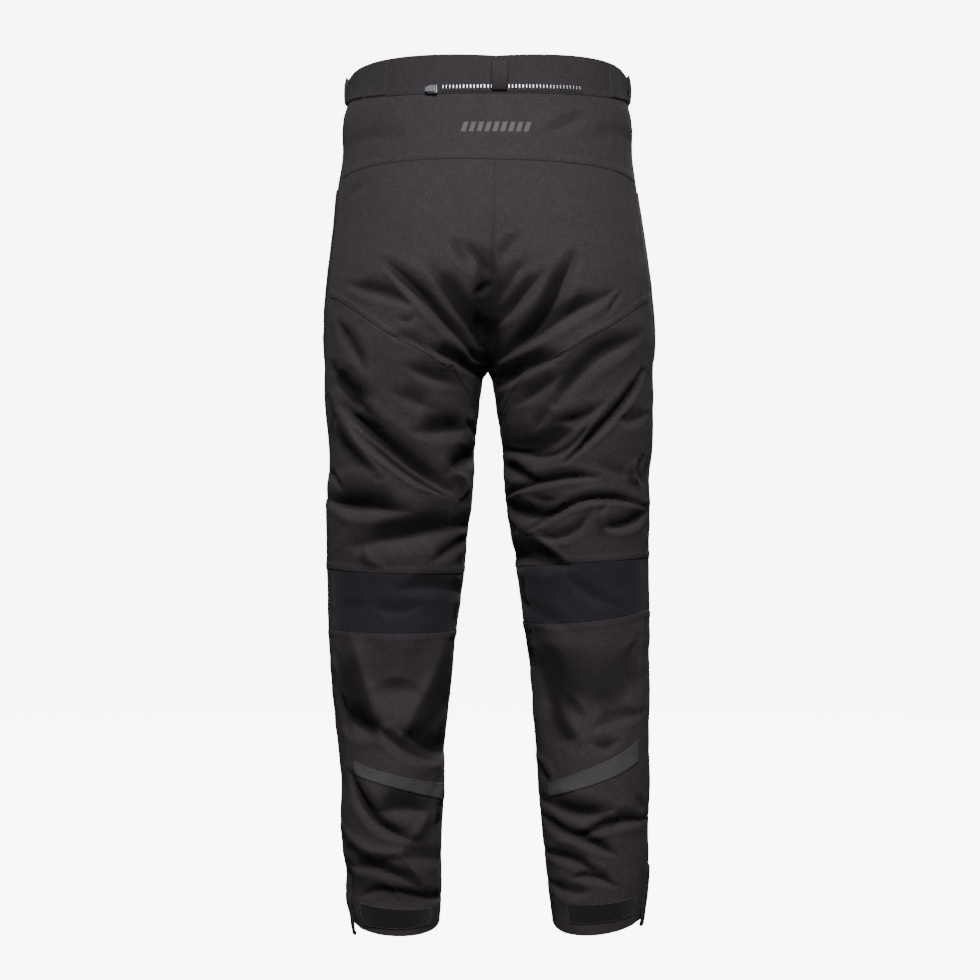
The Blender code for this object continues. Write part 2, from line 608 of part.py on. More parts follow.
def make_zip_slider(panels, metal):
    """Slider block with two ears, and the pull tab that turns between them."""
    points, normals = (between(grid, np.array([2.6]), np.array([ZIP_END + 0.40]))[0, 0]
                       for grid in panels["back"])
    frame = standing_frame(points, normals)
    body_centre = 0.0012 + SLIDER_DEPTH / 2
    face = body_centre + SLIDER_DEPTH / 2
    pivot = Vector((-SLIDER_LENGTH * 0.30, face + EAR_RISE - EAR_LENGTH / 2, 0))
    mesh = bmesh.new()
    box(mesh, (SLIDER_LENGTH, SLIDER_DEPTH, SLIDER_HEIGHT), (0, body_centre, 0))
    bmesh.ops.bevel(mesh, geom=list(mesh.edges), offset=0.0009, segments=2, profile=0.5,
                    affect="EDGES", material=-1)
    body = add_object("connecting_zip_slider", mesh, metal)
    body.matrix_world = frame
    for level in (-1, 1):
        mesh = bmesh.new()
        height = PULL_HEIGHT / 2 + SEAM_GAP + EAR_WALL / 2
        box(mesh, (EAR_LENGTH, EAR_RISE + 0.001, EAR_WALL),
            (pivot.x, face + (EAR_RISE - 0.001) / 2, level * height))
        ear = add_object(f"ear_cutter_{'low' if level < 0 else 'high'}", mesh, metal)
        ear.matrix_world = frame
        ear.hide_render = True
        ear.display_type = "WIRE"
        bpy.data.collections[NAME].objects.unlink(ear)
        bpy.data.collections["helpers"].objects.link(ear)
        union = body.modifiers.new("ear", "BOOLEAN")
        union.operation = "UNION"
        union.solver = "EXACT"
        union.object = ear
    mesh = bmesh.new()
    bmesh.ops.create_cone(mesh, cap_ends=True, segments=16, radius1=PULL_BARREL,
                          radius2=PULL_BARREL, depth=PULL_HEIGHT)
    pull = add_object("connecting_zip_pull", mesh, metal)
    mesh = bmesh.new()
    plate = box(mesh, (PULL_LENGTH, PULL_WALL, PULL_HEIGHT - 0.0004), (PULL_LENGTH / 2, 0, 0))
    tip = [vert for vert in plate if vert.co.x > PULL_LENGTH / 2]
    corners = [edge for edge in mesh.edges if all(vert in tip for vert in edge.verts)]
    corners = [edge for edge in corners if abs(edge.verts[0].co.z - edge.verts[1].co.z) < 1e-6]
    bmesh.ops.bevel(mesh, geom=corners, offset=0.0016, segments=3, profile=0.5,
                    affect="EDGES", material=-1)
    plate = add_object("pull_plate_cutter", mesh, metal)
    plate.hide_render = True
    plate.display_type = "WIRE"
    bpy.data.collections[NAME].objects.unlink(plate)
    bpy.data.collections["helpers"].objects.link(plate)
    union = pull.modifiers.new("plate", "BOOLEAN")
    union.operation = "UNION"
    union.solver = "EXACT"
    union.object = plate
    pull.matrix_world = frame @ Matrix.Translation(pivot)
    plate.matrix_world = pull.matrix_world


def make_snap(panels, metal):
    """Press stud on the front tab."""
    points, normals = (between(grid, np.array([1.8]), np.array([8.0]))[0, 0]
                       for grid in panels[LEFT])
    mesh = bmesh.new()
    bmesh.ops.create_cone(mesh, cap_ends=True, segments=20, radius1=SNAP_RADIUS,
                          radius2=SNAP_RADIUS * 0.8, depth=SNAP_DEPTH)
    snap = add_object("waist_snap", mesh, metal)
    out = Vector(normals)
    turn = Vector((0, 0, 1)).rotation_difference(out)
    lift = OVERLAY_LIFT + STRAP_WALL + SEAM_GAP + SNAP_DEPTH / 2
    snap.matrix_world = Matrix.Translation(Vector(points) + out * lift) @ turn.to_matrix().to_4x4()


def main():
    for item in list(bpy.data.objects):
        bpy.data.objects.remove(item)
    for name in (NAME, "helpers"):
        bpy.context.scene.collection.children.link(bpy.data.collections.new(name))
    cloth = material("black_cloth", BLACK_CLOTH, 0.85)
    knee_cloth = material("knee_stretch_cloth", KNEE_CLOTH, 0.9)
    webbing = material("black_webbing", WEBBING, 0.75)
    reflective = material("dark_reflective_tape", REFLECTIVE, 0.45)
    pile = material("loop_pile", LOOP_PILE, 1.0)
    metal = material("grey_metal", METAL, 0.35, 1.0)
    panels = make_panels(cloth, knee_cloth)
    band = make_waistband(cloth)
    make_leg_trim(panels, reflective, pile, webbing, cloth)
    make_waist_trim(band, webbing, webbing, cloth)
    make_belt_loops(webbing)
    make_zip_slider(band, metal)
    make_snap(band, metal)


main()
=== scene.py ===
import math

import bmesh
import bpy
import numpy as np
from mathutils import Matrix, Vector


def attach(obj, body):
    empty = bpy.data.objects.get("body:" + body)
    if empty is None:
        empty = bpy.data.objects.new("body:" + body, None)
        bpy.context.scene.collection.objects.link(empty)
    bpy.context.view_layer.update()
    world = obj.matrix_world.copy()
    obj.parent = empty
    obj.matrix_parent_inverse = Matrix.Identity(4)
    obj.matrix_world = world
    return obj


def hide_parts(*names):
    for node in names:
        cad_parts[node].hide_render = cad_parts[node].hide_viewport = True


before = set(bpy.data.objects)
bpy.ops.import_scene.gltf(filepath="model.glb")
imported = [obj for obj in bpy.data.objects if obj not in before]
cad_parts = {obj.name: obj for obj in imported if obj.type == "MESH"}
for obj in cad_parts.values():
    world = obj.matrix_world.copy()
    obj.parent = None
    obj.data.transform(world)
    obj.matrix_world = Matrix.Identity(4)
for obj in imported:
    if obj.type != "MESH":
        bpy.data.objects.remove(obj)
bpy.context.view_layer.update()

LEFT, RIGHT = 1, -1
LEGS = ((LEFT, "left"), (RIGHT, "right"))
BACK_COLUMNS = 12
FRONT_COLUMNS = 9

# Walls and clearances, as cut
SEAM_GAP = 0.00004
REST_GAP = 0.0003
CLOTH = 0.002
WAISTBAND = 0.0026
TAPE_WALL = 0.0006
PATCH_WALL = 0.0014
STRAP_WALL = 0.0015
LOOP_WIDTH = 0.019
BACK_LOOP_RISE, SIDE_LOOP_RISE = 0.0080, 0.0034
OVERLAY_LIFT = 0.0005

# The left and right halves lap by this much at their middle seams, this near the middle
MIDDLE_LAP, MIDDLE_REACH = 0.0001, 0.004

# Share of a side loop's rise that its folded webbing fills
SIDE_LOOP_FOLD = 0.6

# How square the rings are: 0 is an ellipse
SQUARENESS = 0.07
CROTCH_DROP = 0.3735

# Spacing of the cloth's grid, and its extra lines beside each edge
BACK_SPACING, FRONT_SPACING = 0.0027, 0.0036
EDGE_LINES = (0.0, 0.0005, 0.0011, 0.0018, 0.0026, 0.0036, 0.0052, 0.0075)

# Seams: height of a lapped edge and how far its doubled cloth reaches
LAP_RISE, LAP_REACH = 0.0007, 0.0065
STITCH_LENGTH, STITCH_PITCH, STITCH_RADIUS = 0.0026, 0.0034, 0.00032
FIRST_ROW, SECOND_ROW = 0.0020, 0.0068


def table(names, *rows):
    """Turn rows of numbers into columns that are read by name."""
    return dict(zip(names.split(), np.array(rows).T))


# Outline seen from behind: distance of each leg's outer and inner edge from the middle plane
OUTLINE = table(
    "drop left_outer left_inner right_outer right_inner",
    (0.000, 0.1725, 0.0000, 0.1715, 0.0000),
    (0.040, 0.1750, 0.0000, 0.1740, 0.0000),
    (0.055, 0.1800, 0.0000, 0.1780, 0.0000),
    (0.071, 0.1820, 0.0000, 0.1800, 0.0000),
    (0.105, 0.1815, 0.0000, 0.1800, 0.0000),
    (0.146, 0.1875, 0.0000, 0.1850, 0.0000),
    (0.196, 0.1920, 0.0000, 0.1922, 0.0000),
    (0.246, 0.1980, 0.0000, 0.1995, 0.0000),
    (0.296, 0.2020, 0.0000, 0.2035, 0.0000),
    (0.346, 0.2038, 0.0000, 0.2063, 0.0000),
    (0.3735, 0.2038, 0.0000, 0.2055, 0.0000),
    (0.3785, 0.2038, 0.0045, 0.2055, 0.0035),
    (0.392, 0.2038, 0.0078, 0.2060, 0.0065),
    (0.433, 0.2030, 0.0125, 0.2060, 0.0122),
    (0.458, 0.2000, 0.0150, 0.2060, 0.0160),
    (0.508, 0.1995, 0.0188, 0.2020, 0.0210),
    (0.533, 0.2022, 0.0210, 0.2030, 0.0228),
    (0.583, 0.2022, 0.0262, 0.2030, 0.0302),
    (0.633, 0.2020, 0.0308, 0.2030, 0.0375),
    (0.683, 0.2015, 0.0375, 0.2035, 0.0440),
    (0.733, 0.2000, 0.0457, 0.2025, 0.0502),
    (0.783, 0.1963, 0.0492, 0.2025, 0.0555),
    (0.833, 0.1890, 0.0522, 0.2025, 0.0608),
    (0.883, 0.1835, 0.0542, 0.2013, 0.0640),
    (0.933, 0.1840, 0.0560, 0.1995, 0.0668),
    (0.983, 0.1800, 0.0570, 0.2005, 0.0712),
    (1.033, 0.1760, 0.0592, 0.1963, 0.0762),
    (1.052, 0.1715, 0.0613, 0.1925, 0.0788),
    (1.080, 0.1660, 0.0635, 0.1880, 0.0805),
)

# Outline seen from the side, the middle of the leg's ring, and the angle of the side seam
PROFILE = table(
    "drop back middle front seam_angle",
    (0.000, 0.120, 0.000, -0.116, 168.0),
    (0.050, 0.126, 0.000, -0.121, 168.0),
    (0.127, 0.143, 0.003, -0.127, 166.0),
    (0.200, 0.156, 0.005, -0.131, 163.0),
    (0.275, 0.158, 0.006, -0.132, 160.0),
    (0.340, 0.147, 0.004, -0.129, 159.0),
    (0.395, 0.131, 0.001, -0.126, 159.0),
    (0.460, 0.112, -0.003, -0.122, 159.0),
    (0.540, 0.092, -0.011, -0.119, 157.0),
    (0.620, 0.070, -0.021, -0.117, 153.0),
    (0.690, 0.060, -0.025, -0.113, 149.0),
    (0.760, 0.066, -0.015, -0.098, 145.0),
    (0.850, 0.074, -0.001, -0.079, 143.0),
    (0.950, 0.071, 0.003, -0.068, 142.0),
    (1.080, 0.067, 0.003, -0.061, 140.0),
)

# Where the left and right halves meet above the crotch, as an angle of the ring
MEETING = table(
    "height back front",
    (-1.000, 0.0, 0.0),
    (0.000, 0.0, 0.0),
    (0.004, 13.0, 16.0),
    (0.020, 29.0, 38.0),
    (0.050, 46.0, 58.0),
    (0.100, 64.0, 76.0),
    (0.150, 77.0, 86.0),
    (0.200, 86.0, 90.0),
    (0.246, 90.0, 90.0),
    (1.000, 90.0, 90.0),
)

# The centre back seam wanders sideways a little
SWAY = table(
    "drop shift",
    (0.000, -0.0100),
    (0.127, -0.0077),
    (0.211, -0.0070),
    (0.286, -0.0036),
    (0.373, 0.0020),
    (0.430, 0.0000),
)

# Seams and edges that run round the body: rows of the grid down to the next line, then the drop
# at the back's inner edge, the middle of the back, the side, the middle of the front and the
# front's inner edge
LINE_NAMES = (
    "waist_seam", "yoke_seam", "crotch", "arch", "seat_seam", "knee_top", "knee_bottom",
    "tape_top", "tape_bottom", "patch_top", "patch_bottom", "hem",
)
LINE_COLUMNS = "rows back_inner back_middle side front_middle front_inner"
LINES = {
    LEFT: table(
        LINE_COLUMNS,
        (3, 0.0465, 0.0450, 0.0410, 0.0500, 0.0620),
        (8, 0.1280, 0.1279, 0.1395, 0.1480, 0.1600),
        (1, 0.3735, 0.3080, 0.2450, 0.3080, 0.3735),
        (3, 0.3785, 0.3140, 0.2535, 0.3140, 0.3785),
        (9, 0.4460, 0.3560, 0.2890, 0.3780, 0.4460),
        (3, 0.6248, 0.6235, 0.6188, 0.6240, 0.6248),
        (7, 0.6960, 0.6975, 0.6948, 0.6970, 0.6960),
        (1, 0.8875, 0.8725, 0.8470, 0.8600, 0.8818),
        (5, 0.9095, 0.8888, 0.8640, 0.8820, 0.9030),
        (1, 1.0302, 1.0340, 1.0240, 1.0120, 1.0200),
        (1, 1.0490, 1.0572, 1.0520, 1.0400, 1.0490),
        (0, 1.0585, 1.0668, 1.0595, 1.0480, 1.0585),
    ),
    RIGHT: table(
        LINE_COLUMNS,
        (3, 0.0465, 0.0450, 0.0425, 0.0500, 0.0620),
        (8, 0.1280, 0.1320, 0.1430, 0.1500, 0.1600),
        (1, 0.3735, 0.3100, 0.2500, 0.3080, 0.3735),
        (3, 0.3785, 0.3160, 0.2585, 0.3140, 0.3785),
        (9, 0.4520, 0.3650, 0.2970, 0.3800, 0.4520),
        (3, 0.6185, 0.6105, 0.6048, 0.6120, 0.6185),
        (7, 0.6860, 0.6845, 0.6700, 0.6800, 0.6860),
        (1, 0.8925, 0.8660, 0.8224, 0.8600, 0.8830),
        (5, 0.9050, 0.8866, 0.8502, 0.8820, 0.9010),
        (1, 1.0200, 1.0272, 1.0180, 1.0120, 1.0200),
        (1, 1.0480, 1.0512, 1.0400, 1.0390, 1.0480),
        (0, 1.0575, 1.0662, 1.0545, 1.0470, 1.0575),
    ),
}

# The seat's lower seam across the back, from the inseam to the side seam
SEAT_SEAM = table(
    "share left right",
    (0.00, 0.4540, 0.4560),
    (0.10, 0.4320, 0.4380),
    (0.18, 0.4110, 0.4200),
    (0.25, 0.3950, 0.4050),
    (0.33, 0.3765, 0.3880),
    (0.39, 0.3590, 0.3740),
    (0.50, 0.3405, 0.3485),
    (0.68, 0.3120, 0.3205),
    (0.85, 0.2935, 0.2992),
    (1.00, 0.2846, 0.2900),
)

# Waistband: drops of its top edge from the centre back round to the centre front, and the heights
# above its lower seam between which the zip's tape is sewn
BAND_TOP = (0.0000, -0.0025, 0.0060, 0.0150, 0.0200)
ZIP_TAPE_TOP, ZIP_TAPE_BOTTOM = 0.0100, 0.0020

def fold_table(*rows):
    """Folds in millimetres: where each starts and ends, how far its middle bows, half width and depth; the
    depth also sets how dark the painted shade along the fold is, and wide shallow rows also paint shade over
    broad stretches. Then how crisp its bottom is, and how much wider its upper slope is than its lower one."""
    names = "start_x start_drop end_x end_drop bow half_width depth crisp lean"
    scale = np.array([0.001] * 7 + [1.0] * 2)
    return table(names, *(np.array(row) * scale for row in rows))


BACK_FOLDS = fold_table(
    (125, 252, 15, 359, -3, 8, 9.5, 0.3, 0.25),
    (67, 266, 2, 347, 1, 13, 8.5, 0.25, 0.3),
    (0, 249, 0, 383, 0, 15, 6, 0, 0),
    (50, 224, 27, 261, -1, 6, 2.4, 0.3, 0.1),
    (29, 232, 0, 266, -1, 7, 4.2, 0.2, 0.1),
    (166, 276, 99, 298, -3, 8, 5.5, 0.3, 0.3),
    (107, 316, 88, 314, 4, 5, 2, 0.1, 0),
    (17, 289, -2, 276, 1, 5, 4, 0.3, 0),
    (113, 338, 73, 354, -3, 7, 2.2, 0.1, 0.4),
    (63, 354, 13, 379, -1, 8, 6, 0.2, 0.4),
    (180, 323, 150, 373, 0, 7, 4, 0.3, 0.2),
    (91, 378, 41, 395, 1, 8, 4.5, 0.15, 0.3),
    (12, 316, -4, 340, -1, 6, 4.5, 0.2, 0.2),
    (-99, 245, -21, 360, -12, 11, 9.5, 0.45, 0.2),
    (-138, 292, -34, 356, 6, 10, 7, 0.25, 0.35),
    (-63, 266, -12, 321, 0, 8, 6, 0.3, 0.3),
    (-41, 251, -11, 295, -1, 7, 4.2, 0.2, 0.2),
    (-33, 218, -14, 249, 1, 6, 2.8, 0.1, 0.1),
    (-107, 242, -102, 260, 0, 4, 1.4, 0.4, 0),
    (-156, 288, -142, 311, 1, 4, 1.8, 0.3, 0),
    (-87, 360, -19, 393, 3, 8, 6.5, 0.25, 0.4),
    (-181, 339, -83, 417, 11, 11, 6.5, 0.2, 0.3),
    (-87, 385, -39, 415, 0, 8, 4.5, 0.2, 0.3),
    (186, 376, 148, 425, 4, 12, 8, 0.3, 0.2),
    (174, 421, 51, 520, 7, 11, 11, 0.2, 0.3),
    (160, 451, 51, 529, 6, 4, 6.5, 0.9, 0.1),
    (181, 427, 134, 497, 4, 8, -4.4, 0.3, 0),
    (82, 452, 28, 446, -2, 11, 6.5, 0.3, 0.3),
    (45, 497, 17, 475, 2, 10, 6, 0.3, 0.3),
    (195, 534, 108, 548, 2, 12, 11, 0.6, 0.5),
    (155, 589, 27, 566, -3, 16, 8.6, 0.45, 0.25),
    (64, 607, 25, 580, 0, 7, 4.5, 0.4, 0.2),
    (196, 497, 179, 520, -1, 4, 2.4, 0.3, 0),
    (111, 406, 70, 422, -1, 10, 3.2, 0.1, 0.2),
    (28, 433, 13, 464, -2, 3, 2.2, 0.4, 0),
    (138, 510, 128, 506, 1, 4, 1.2, 0, 0),
    (46, 497, 39, 536, -14, 7, -2.6, 0.1, 0),
    (152, 591, 131, 613, 7, 6, -2.2, 0.1, 0),
    (-191, 378, -94, 486, -6, 5, 7, 0.6, 0.2),
    (-83, 440, -133, 423, 5, 7, 5, 0.3, 0.2),
    (-125, 438, -24, 473, -23, 4, 4.5, 0.7, 0.2),
    (-102, 446, -27, 475, -10, 15, 7, 0.05, 0.2),
    (-133, 506, -24, 529, 9, 5, 6, 0.55, 0.45),
    (-21, 490, -53, 510, 2, 7, 5.5, 0.3, 0.2),
    (-25, 542, -82, 548, 9, 10, 6.5, 0.2, 0.3),
    (-51, 529, -86, 531, 5, 7, 2.8, 0.1, 0.1),
    (-195, 542, -51, 572, 23, 5, 6, 0.6, 0.35),
    (-56, 578, -126, 548, 13, 6, 3.4, 0.3, 0.2),
    (-50, 571, -97, 608, 1, 6, -3.6, 0.4, 0.3),
    (-24, 601, -94, 614, 2, 12, 5.5, 0, 0.3),
    (-195, 549, -143, 566, -7, 7, 5.5, 0.5, 0.3),
    (-139, 548, -140, 572, 1, 5, -2.4, 0.2, 0.1),
    (-148, 533, -136, 548, -3, 4, 1.8, 0.4, 0),
    (-191, 430, -159, 436, -3, 7, 3.2, 0.1, 0.2),
    (-177, 485, -185, 516, 5, 6, -3, 0.4, 0),
    (-189, 482, -192, 514, 8, 4, 2.6, 0.3, 0),
    (-131, 487, -172, 502, 4, 7, 1.6, 0, 0.2),
    (-73, 422, -56, 446, -1, 8, 3, 0.1, 0.1),
    (106, 644, 31, 652, -8, 10, 3.6, 0.1, 0.3),
    (141, 662, 83, 662, 7, 8, 1.6, 0, 0.2),
    (180, 670, 149, 661, -1, 7, 1.2, 0, 0),
    (-102, 632, -156, 662, 4, 8, 1.8, 0.05, 0.3),
    (-44, 662, -95, 687, 0, 8, 1.8, 0, 0.1),
    (167, 707, 135, 811, 3, 21, -6, 0.35, 0.2),
    (52, 704, 102, 811, -9, 19, -6, 0.35, 0.2),
    (146, 766, 77, 768, -16, 8, -2.4, 0.1, 0.2),
    (163, 733, 58, 733, 24, 34, 3.2, 0, 0.1),
    (105, 814, 50, 851, 1, 15, 9.5, 0.5, 0.2),
    (132, 815, 66, 853, 5, 9, 6, 0.3, 0.3),
    (171, 792, 132, 820, 4, 13, 7.5, 0.2, 0.2),
    (169, 872, 94, 949, 14, 8, 7.5, 0.5, 0.2),
    (137, 913, 73, 915, -5, 15, 6.5, 0.35, 0.4),
    (71, 915, 94, 948, -2, 7, -3.2, 0.3, 0.1),
    (179, 938, 105, 963, 13, 7, -3.4, 0.2, 0.2),
    (169, 983, 87, 1005, -7, 8, 6, 0.45, 0.35),
    (105, 970, 84, 1001, -2, 5, -2.4, 0.3, 0),
    (107, 974, 61, 977, -6, 11, 3.6, 0, 0.2),
    (122, 1012, 58, 1028, -2, 6, 4.8, 0.5, 0.3),
    (158, 1021, 107, 1024, -10, 5, 4, 0.4, 0.3),
    (58, 887, 66, 926, -1, 6, -2.4, 0.2, 0),
    (183, 765, 169, 821, 1, 5, 1.8, 0.2, 0),
    (189, 718, 180, 753, -1, 4, 1.6, 0.3, 0),
    (-84, 778, -112, 823, 3, 11, -4.8, 0.3, 0.2),
    (-94, 770, -118, 792, -3, 7, -3, 0.2, 0.1),
    (-127, 831, -157, 829, 6, 7, 3.8, 0.2, 0.2),
    (-132, 811, -186, 796, -4, 8, 3.6, 0.2, 0.3),
    (-63, 851, -79, 877, -4, 5, -3, 0.3, 0),
    (-74, 907, -146, 912, 7, 9, 7.5, 0.35, 0.35),
    (-117, 944, -193, 930, -8, 7, 6, 0.55, 0.35),
    (-71, 926, -119, 943, 6, 7, 4.5, 0.1, 0.2),
    (-102, 945, -152, 965, -2, 6, 6.5, 0.5, 0.3),
    (-73, 970, -127, 984, -4, 7, 5.8, 0.35, 0.35),
    (-102, 996, -154, 1004, -8, 6, 5.5, 0.45, 0.35),
    (-76, 1007, -119, 1011, 3, 7, 4, 0.2, 0.1),
    (-182, 896, -189, 918, -2, 5, 1.8, 0.2, 0),
    (-145, 913, -149, 938, -7, 6, -2.2, 0.2, 0),
    (-61, 710, -88, 804, 1, 24, 7, 0, 0),
    (-83, 745, -185, 750, 27, 44, 5, 0, 0.1),
    (-137, 765, -149, 804, -1, 13, 1.6, 0, 0),
    (-185, 704, -185, 765, 9, 7, 2.4, 0.1, 0),
    (-117, 63, -66, 92, -3, 7, 1.8, 0.2, 0.2),
    (-181, 91, -122, 100, 7, 11, 1, 0, 0.1),
    (162, 97, 105, 100, -6, 11, 1.2, 0, 0.1),
    (167, 163, 146, 146, 0, 6, 1, 0.2, 0),
    (174, 1001, 58, 1023, 8, 19, 3.4, 0, 0),
    (178, 982, 168, 1030, 1, 10, 3, 0, 0),
)
FRONT_FOLDS = fold_table(
    (20, 345, 120, 290, 8, 10, 6, 0.2, 0.2),
    (16, 300, 85, 255, 5, 8, 3.5, 0.2, 0.1),
    (24, 375, 150, 340, 10, 11, 7, 0.25, 0.3),
    (30, 430, 165, 405, 10, 10, 5, 0.2, 0.2),
    (34, 480, 105, 470, 6, 8, 3, 0.3, 0.2),
    (190, 470, 100, 520, 4, 10, 5.5, 0.35, 0.3),
    (192, 420, 130, 450, 3, 7, 2.8, 0.2, 0.1),
    (60, 560, 150, 552, -6, 7, 2.6, 0.2, 0.2),
    (50, 600, 170, 590, 10, 10, 4, 0.2, 0.2),
    (60, 735, 120, 745, -6, 7, 3, 0.3, 0.2),
    (60, 775, 180, 765, -12, 9, 6, 0.4, 0.35),
    (70, 820, 165, 830, -10, 9, 5.5, 0.35, 0.35),
    (120, 865, 178, 850, 4, 6, 3, 0.4, 0.2),
    (75, 900, 160, 880, 6, 8, 4.6, 0.35, 0.3),
    (72, 930, 120, 942, -4, 6, 3, 0.4, 0.3),
    (70, 960, 165, 975, 8, 8, 5, 0.4, 0.35),
    (85, 1000, 150, 994, -5, 6, 3, 0.4, 0.3),
    (-22, 340, -115, 280, -8, 10, 6, 0.2, 0.2),
    (-18, 295, -80, 250, -4, 8, 3.2, 0.2, 0.1),
    (-26, 380, -155, 335, -10, 11, 7, 0.25, 0.3),
    (-34, 440, -160, 420, -8, 10, 4.6, 0.2, 0.2),
    (-40, 495, -110, 480, -6, 8, 3, 0.3, 0.2),
    (-192, 490, -95, 545, -4, 10, 5.5, 0.35, 0.3),
    (-190, 440, -135, 470, 3, 7, 2.8, 0.2, 0.1),
    (-60, 610, -175, 585, -8, 10, 4, 0.2, 0.2),
    (-65, 765, -190, 785, 12, 9, 6, 0.4, 0.35),
    (-80, 835, -180, 820, 10, 8, 5, 0.35, 0.35),
    (-130, 870, -185, 862, 4, 6, 3, 0.4, 0.2),
    (-85, 915, -175, 905, -6, 8, 4.4, 0.35, 0.3),
    (-85, 975, -175, 960, -8, 8, 5, 0.4, 0.35),
    (-90, 1005, -155, 1000, 5, 6, 3, 0.4, 0.3),
)

# How much deeper and crisper the finished cloth's folds are than the rows say
DEEPER, CRISPER = 1.25, 0.35

# Depth of a fold and height of a ridge that give the full painted shade in the cloth's colour, the most
# painted shade there is, and how much of its dark tone the cloth keeps where the shade is painted
DEEP_FOLD, HIGH_RIDGE, DARKEST, PAINTED_SHADE_TONE = 0.0085, 0.006, 0.87, 0.36

# Random unevenness of the cloth: cell size, height, seed
SWELL = (0.075, 0.0016, 5)
WRINKLE = (0.030, 0.00075, 6)
CRUMPLE = (0.012, 0.00018, 7)
WANDER = (0.045, 0.0026, 8)

# The cloth is smooth above this drop, slack further down, and smoother again at the knee bands
SLACK_FROM, SLACK_SPAN = 0.17, 0.12
KNEE_DROP, KNEE_REACH = 0.652, 0.038


def curve(rows, name, at, key="drop"):
    """Read one column of a table anywhere, on a smooth curve through its rows."""
    places, values = rows[key], rows[name]
    slopes = np.gradient(values, places)
    at = np.clip(at, places[0], places[-1])
    row = np.clip(np.searchsorted(places, at) - 1, 0, len(places) - 2)
    span = places[row + 1] - places[row]
    share = (at - places[row]) / span
    start = (1 + 2 * share) * (1 - share) ** 2 * values[row]
    start += share * (1 - share) ** 2 * span * slopes[row]
    end = share ** 2 * (3 - 2 * share) * values[row + 1]
    end += share ** 2 * (share - 1) * span * slopes[row + 1]
    return start + end


def squared_cos(angle):
    return np.cos(angle) * (1 + SQUARENESS * np.sin(angle) ** 2)


def squared_sin(angle):
    return np.sin(angle) * (1 + SQUARENESS * np.cos(angle) ** 2)


def meeting_angle(drop, face):
    """Angle at which this half meets the other one; 0 below the crotch."""
    height = CROTCH_DROP - drop
    return np.radians(np.interp(height, MEETING["height"], MEETING[face]))


def seam_angle(drop):
    return np.radians(curve(PROFILE, "seam_angle", drop))


def ease(share):
    """Smooth step from 0 to 1."""
    share = np.clip(share, 0, 1)
    return share * share * (3 - 2 * share)


def cloud(points, cell, seed):
    """Smooth random values between -1 and 1, with bumps about one cell across."""
    lattice = np.random.default_rng(seed).uniform(-1, 1, (32, 32, 32))
    place = points / cell
    low = np.floor(place).astype(int)
    share = ease(place - low)
    total = np.zeros(points.shape[:-1])
    for corner in np.ndindex(2, 2, 2):
        weight = np.prod(np.where(corner, share, 1 - share), axis=-1)
        near = (low + corner) % 32
        total += weight * lattice[near[..., 0], near[..., 1], near[..., 2]]
    return total


def ramp_down(off):
    """Slope of a fold's side: an even fall from 1 that runs out softly about one half width away."""
    return np.log1p(np.exp(4 * (1 - np.minimum(off, 9)))) / math.log1p(math.exp(4))


# Sides of a fold in half widths, and the swell of the cloth beside it: heights on the lit and the
# dark side, where it lies and how wide it is
LIT_SIDE, DARK_SIDE = 0.95, 1.15
LIT_SWELL, DARK_SWELL, SWELL_PLACE, SWELL_WIDTH = 0.12, 0.18, 1.9, 0.60


def fold_height(x, drop, folds):
    """Height of the creased cloth at points seen flat, and how much painted shade the folds lay on each one's
    colour, most on each fold's dark side.
    A row of positive depth is a trough whose upper side falls away steeply to a crease, and one of
    negative depth is a ridge whose lower side turns under."""
    total, painted_shade = np.zeros_like(x), np.zeros_like(x)
    for start_x, start_drop, end_x, end_drop, bow, half_width, depth, crisp, lean in zip(*folds.values()):
        run_x, run_drop = end_x - start_x, end_drop - start_drop
        length = math.hypot(run_x, run_drop)
        along = ((x - start_x) * run_x + (drop - start_drop) * run_drop) / length ** 2
        inside = np.clip(along, 0, 1)
        aside = ((x - start_x) * run_drop - (drop - start_drop) * run_x) / length
        aside = aside - 4 * bow * inside * (1 - inside)
        is_lit = aside * run_x * depth < 0
        body = ease(1 - np.abs(2 * inside - 1) ** 2.5)
        side_width = np.where(is_lit, LIT_SIDE - 0.35 * lean, DARK_SIDE + lean)
        width = half_width * (0.55 + 0.45 * body) * side_width
        off = np.hypot(aside, (along - inside) * length * 0.8) / width
        bluntness = 0.30 * (1 - min(1, crisp + CRISPER))
        trough = ramp_down(np.hypot(off, bluntness) - bluntness)
        swell = np.where(is_lit, LIT_SWELL, DARK_SWELL) * np.exp(-((off - SWELL_PLACE) / SWELL_WIDTH) ** 2)
        total -= DEEPER * depth * (0.35 + 0.65 * body) * (trough - swell)
        # Painted shade: a broad band over the dark side of each fold and a thin one on its lit side, stronger
        # for deeper folds and higher ridges
        edge = np.where(is_lit, np.exp(-(off / 0.28) ** 2), 1 / (1 + np.exp(8 * np.minimum(off, 5) - 8.4)))
        shade = edge * (0.3 + 0.7 * body) * min(DARKEST, max(depth / DEEP_FOLD, -depth / HIGH_RIDGE))
        painted_shade = painted_shade + shade - painted_shade * shade
    return total, painted_shade


def folds_at(base, drop, angle):
    """Height of the folds at points of the smooth cloth, and the painted shade the folds lay on each one."""
    flat_x = base[..., 0] + WANDER[1] * cloud(base, WANDER[0], WANDER[2])
    flat_drop = drop + WANDER[1] * cloud(base, WANDER[0], WANDER[2] + 1)
    back_share = np.clip(0.5 + 2.5 * np.sin(angle), 0, 1)
    back, front = fold_height(flat_x, flat_drop, BACK_FOLDS), fold_height(flat_x, flat_drop, FRONT_FOLDS)
    fade = ease((drop - 0.055) / 0.02)
    return tuple(fade * (one * back_share + other * (1 - back_share)) for one, other in zip(back, front))


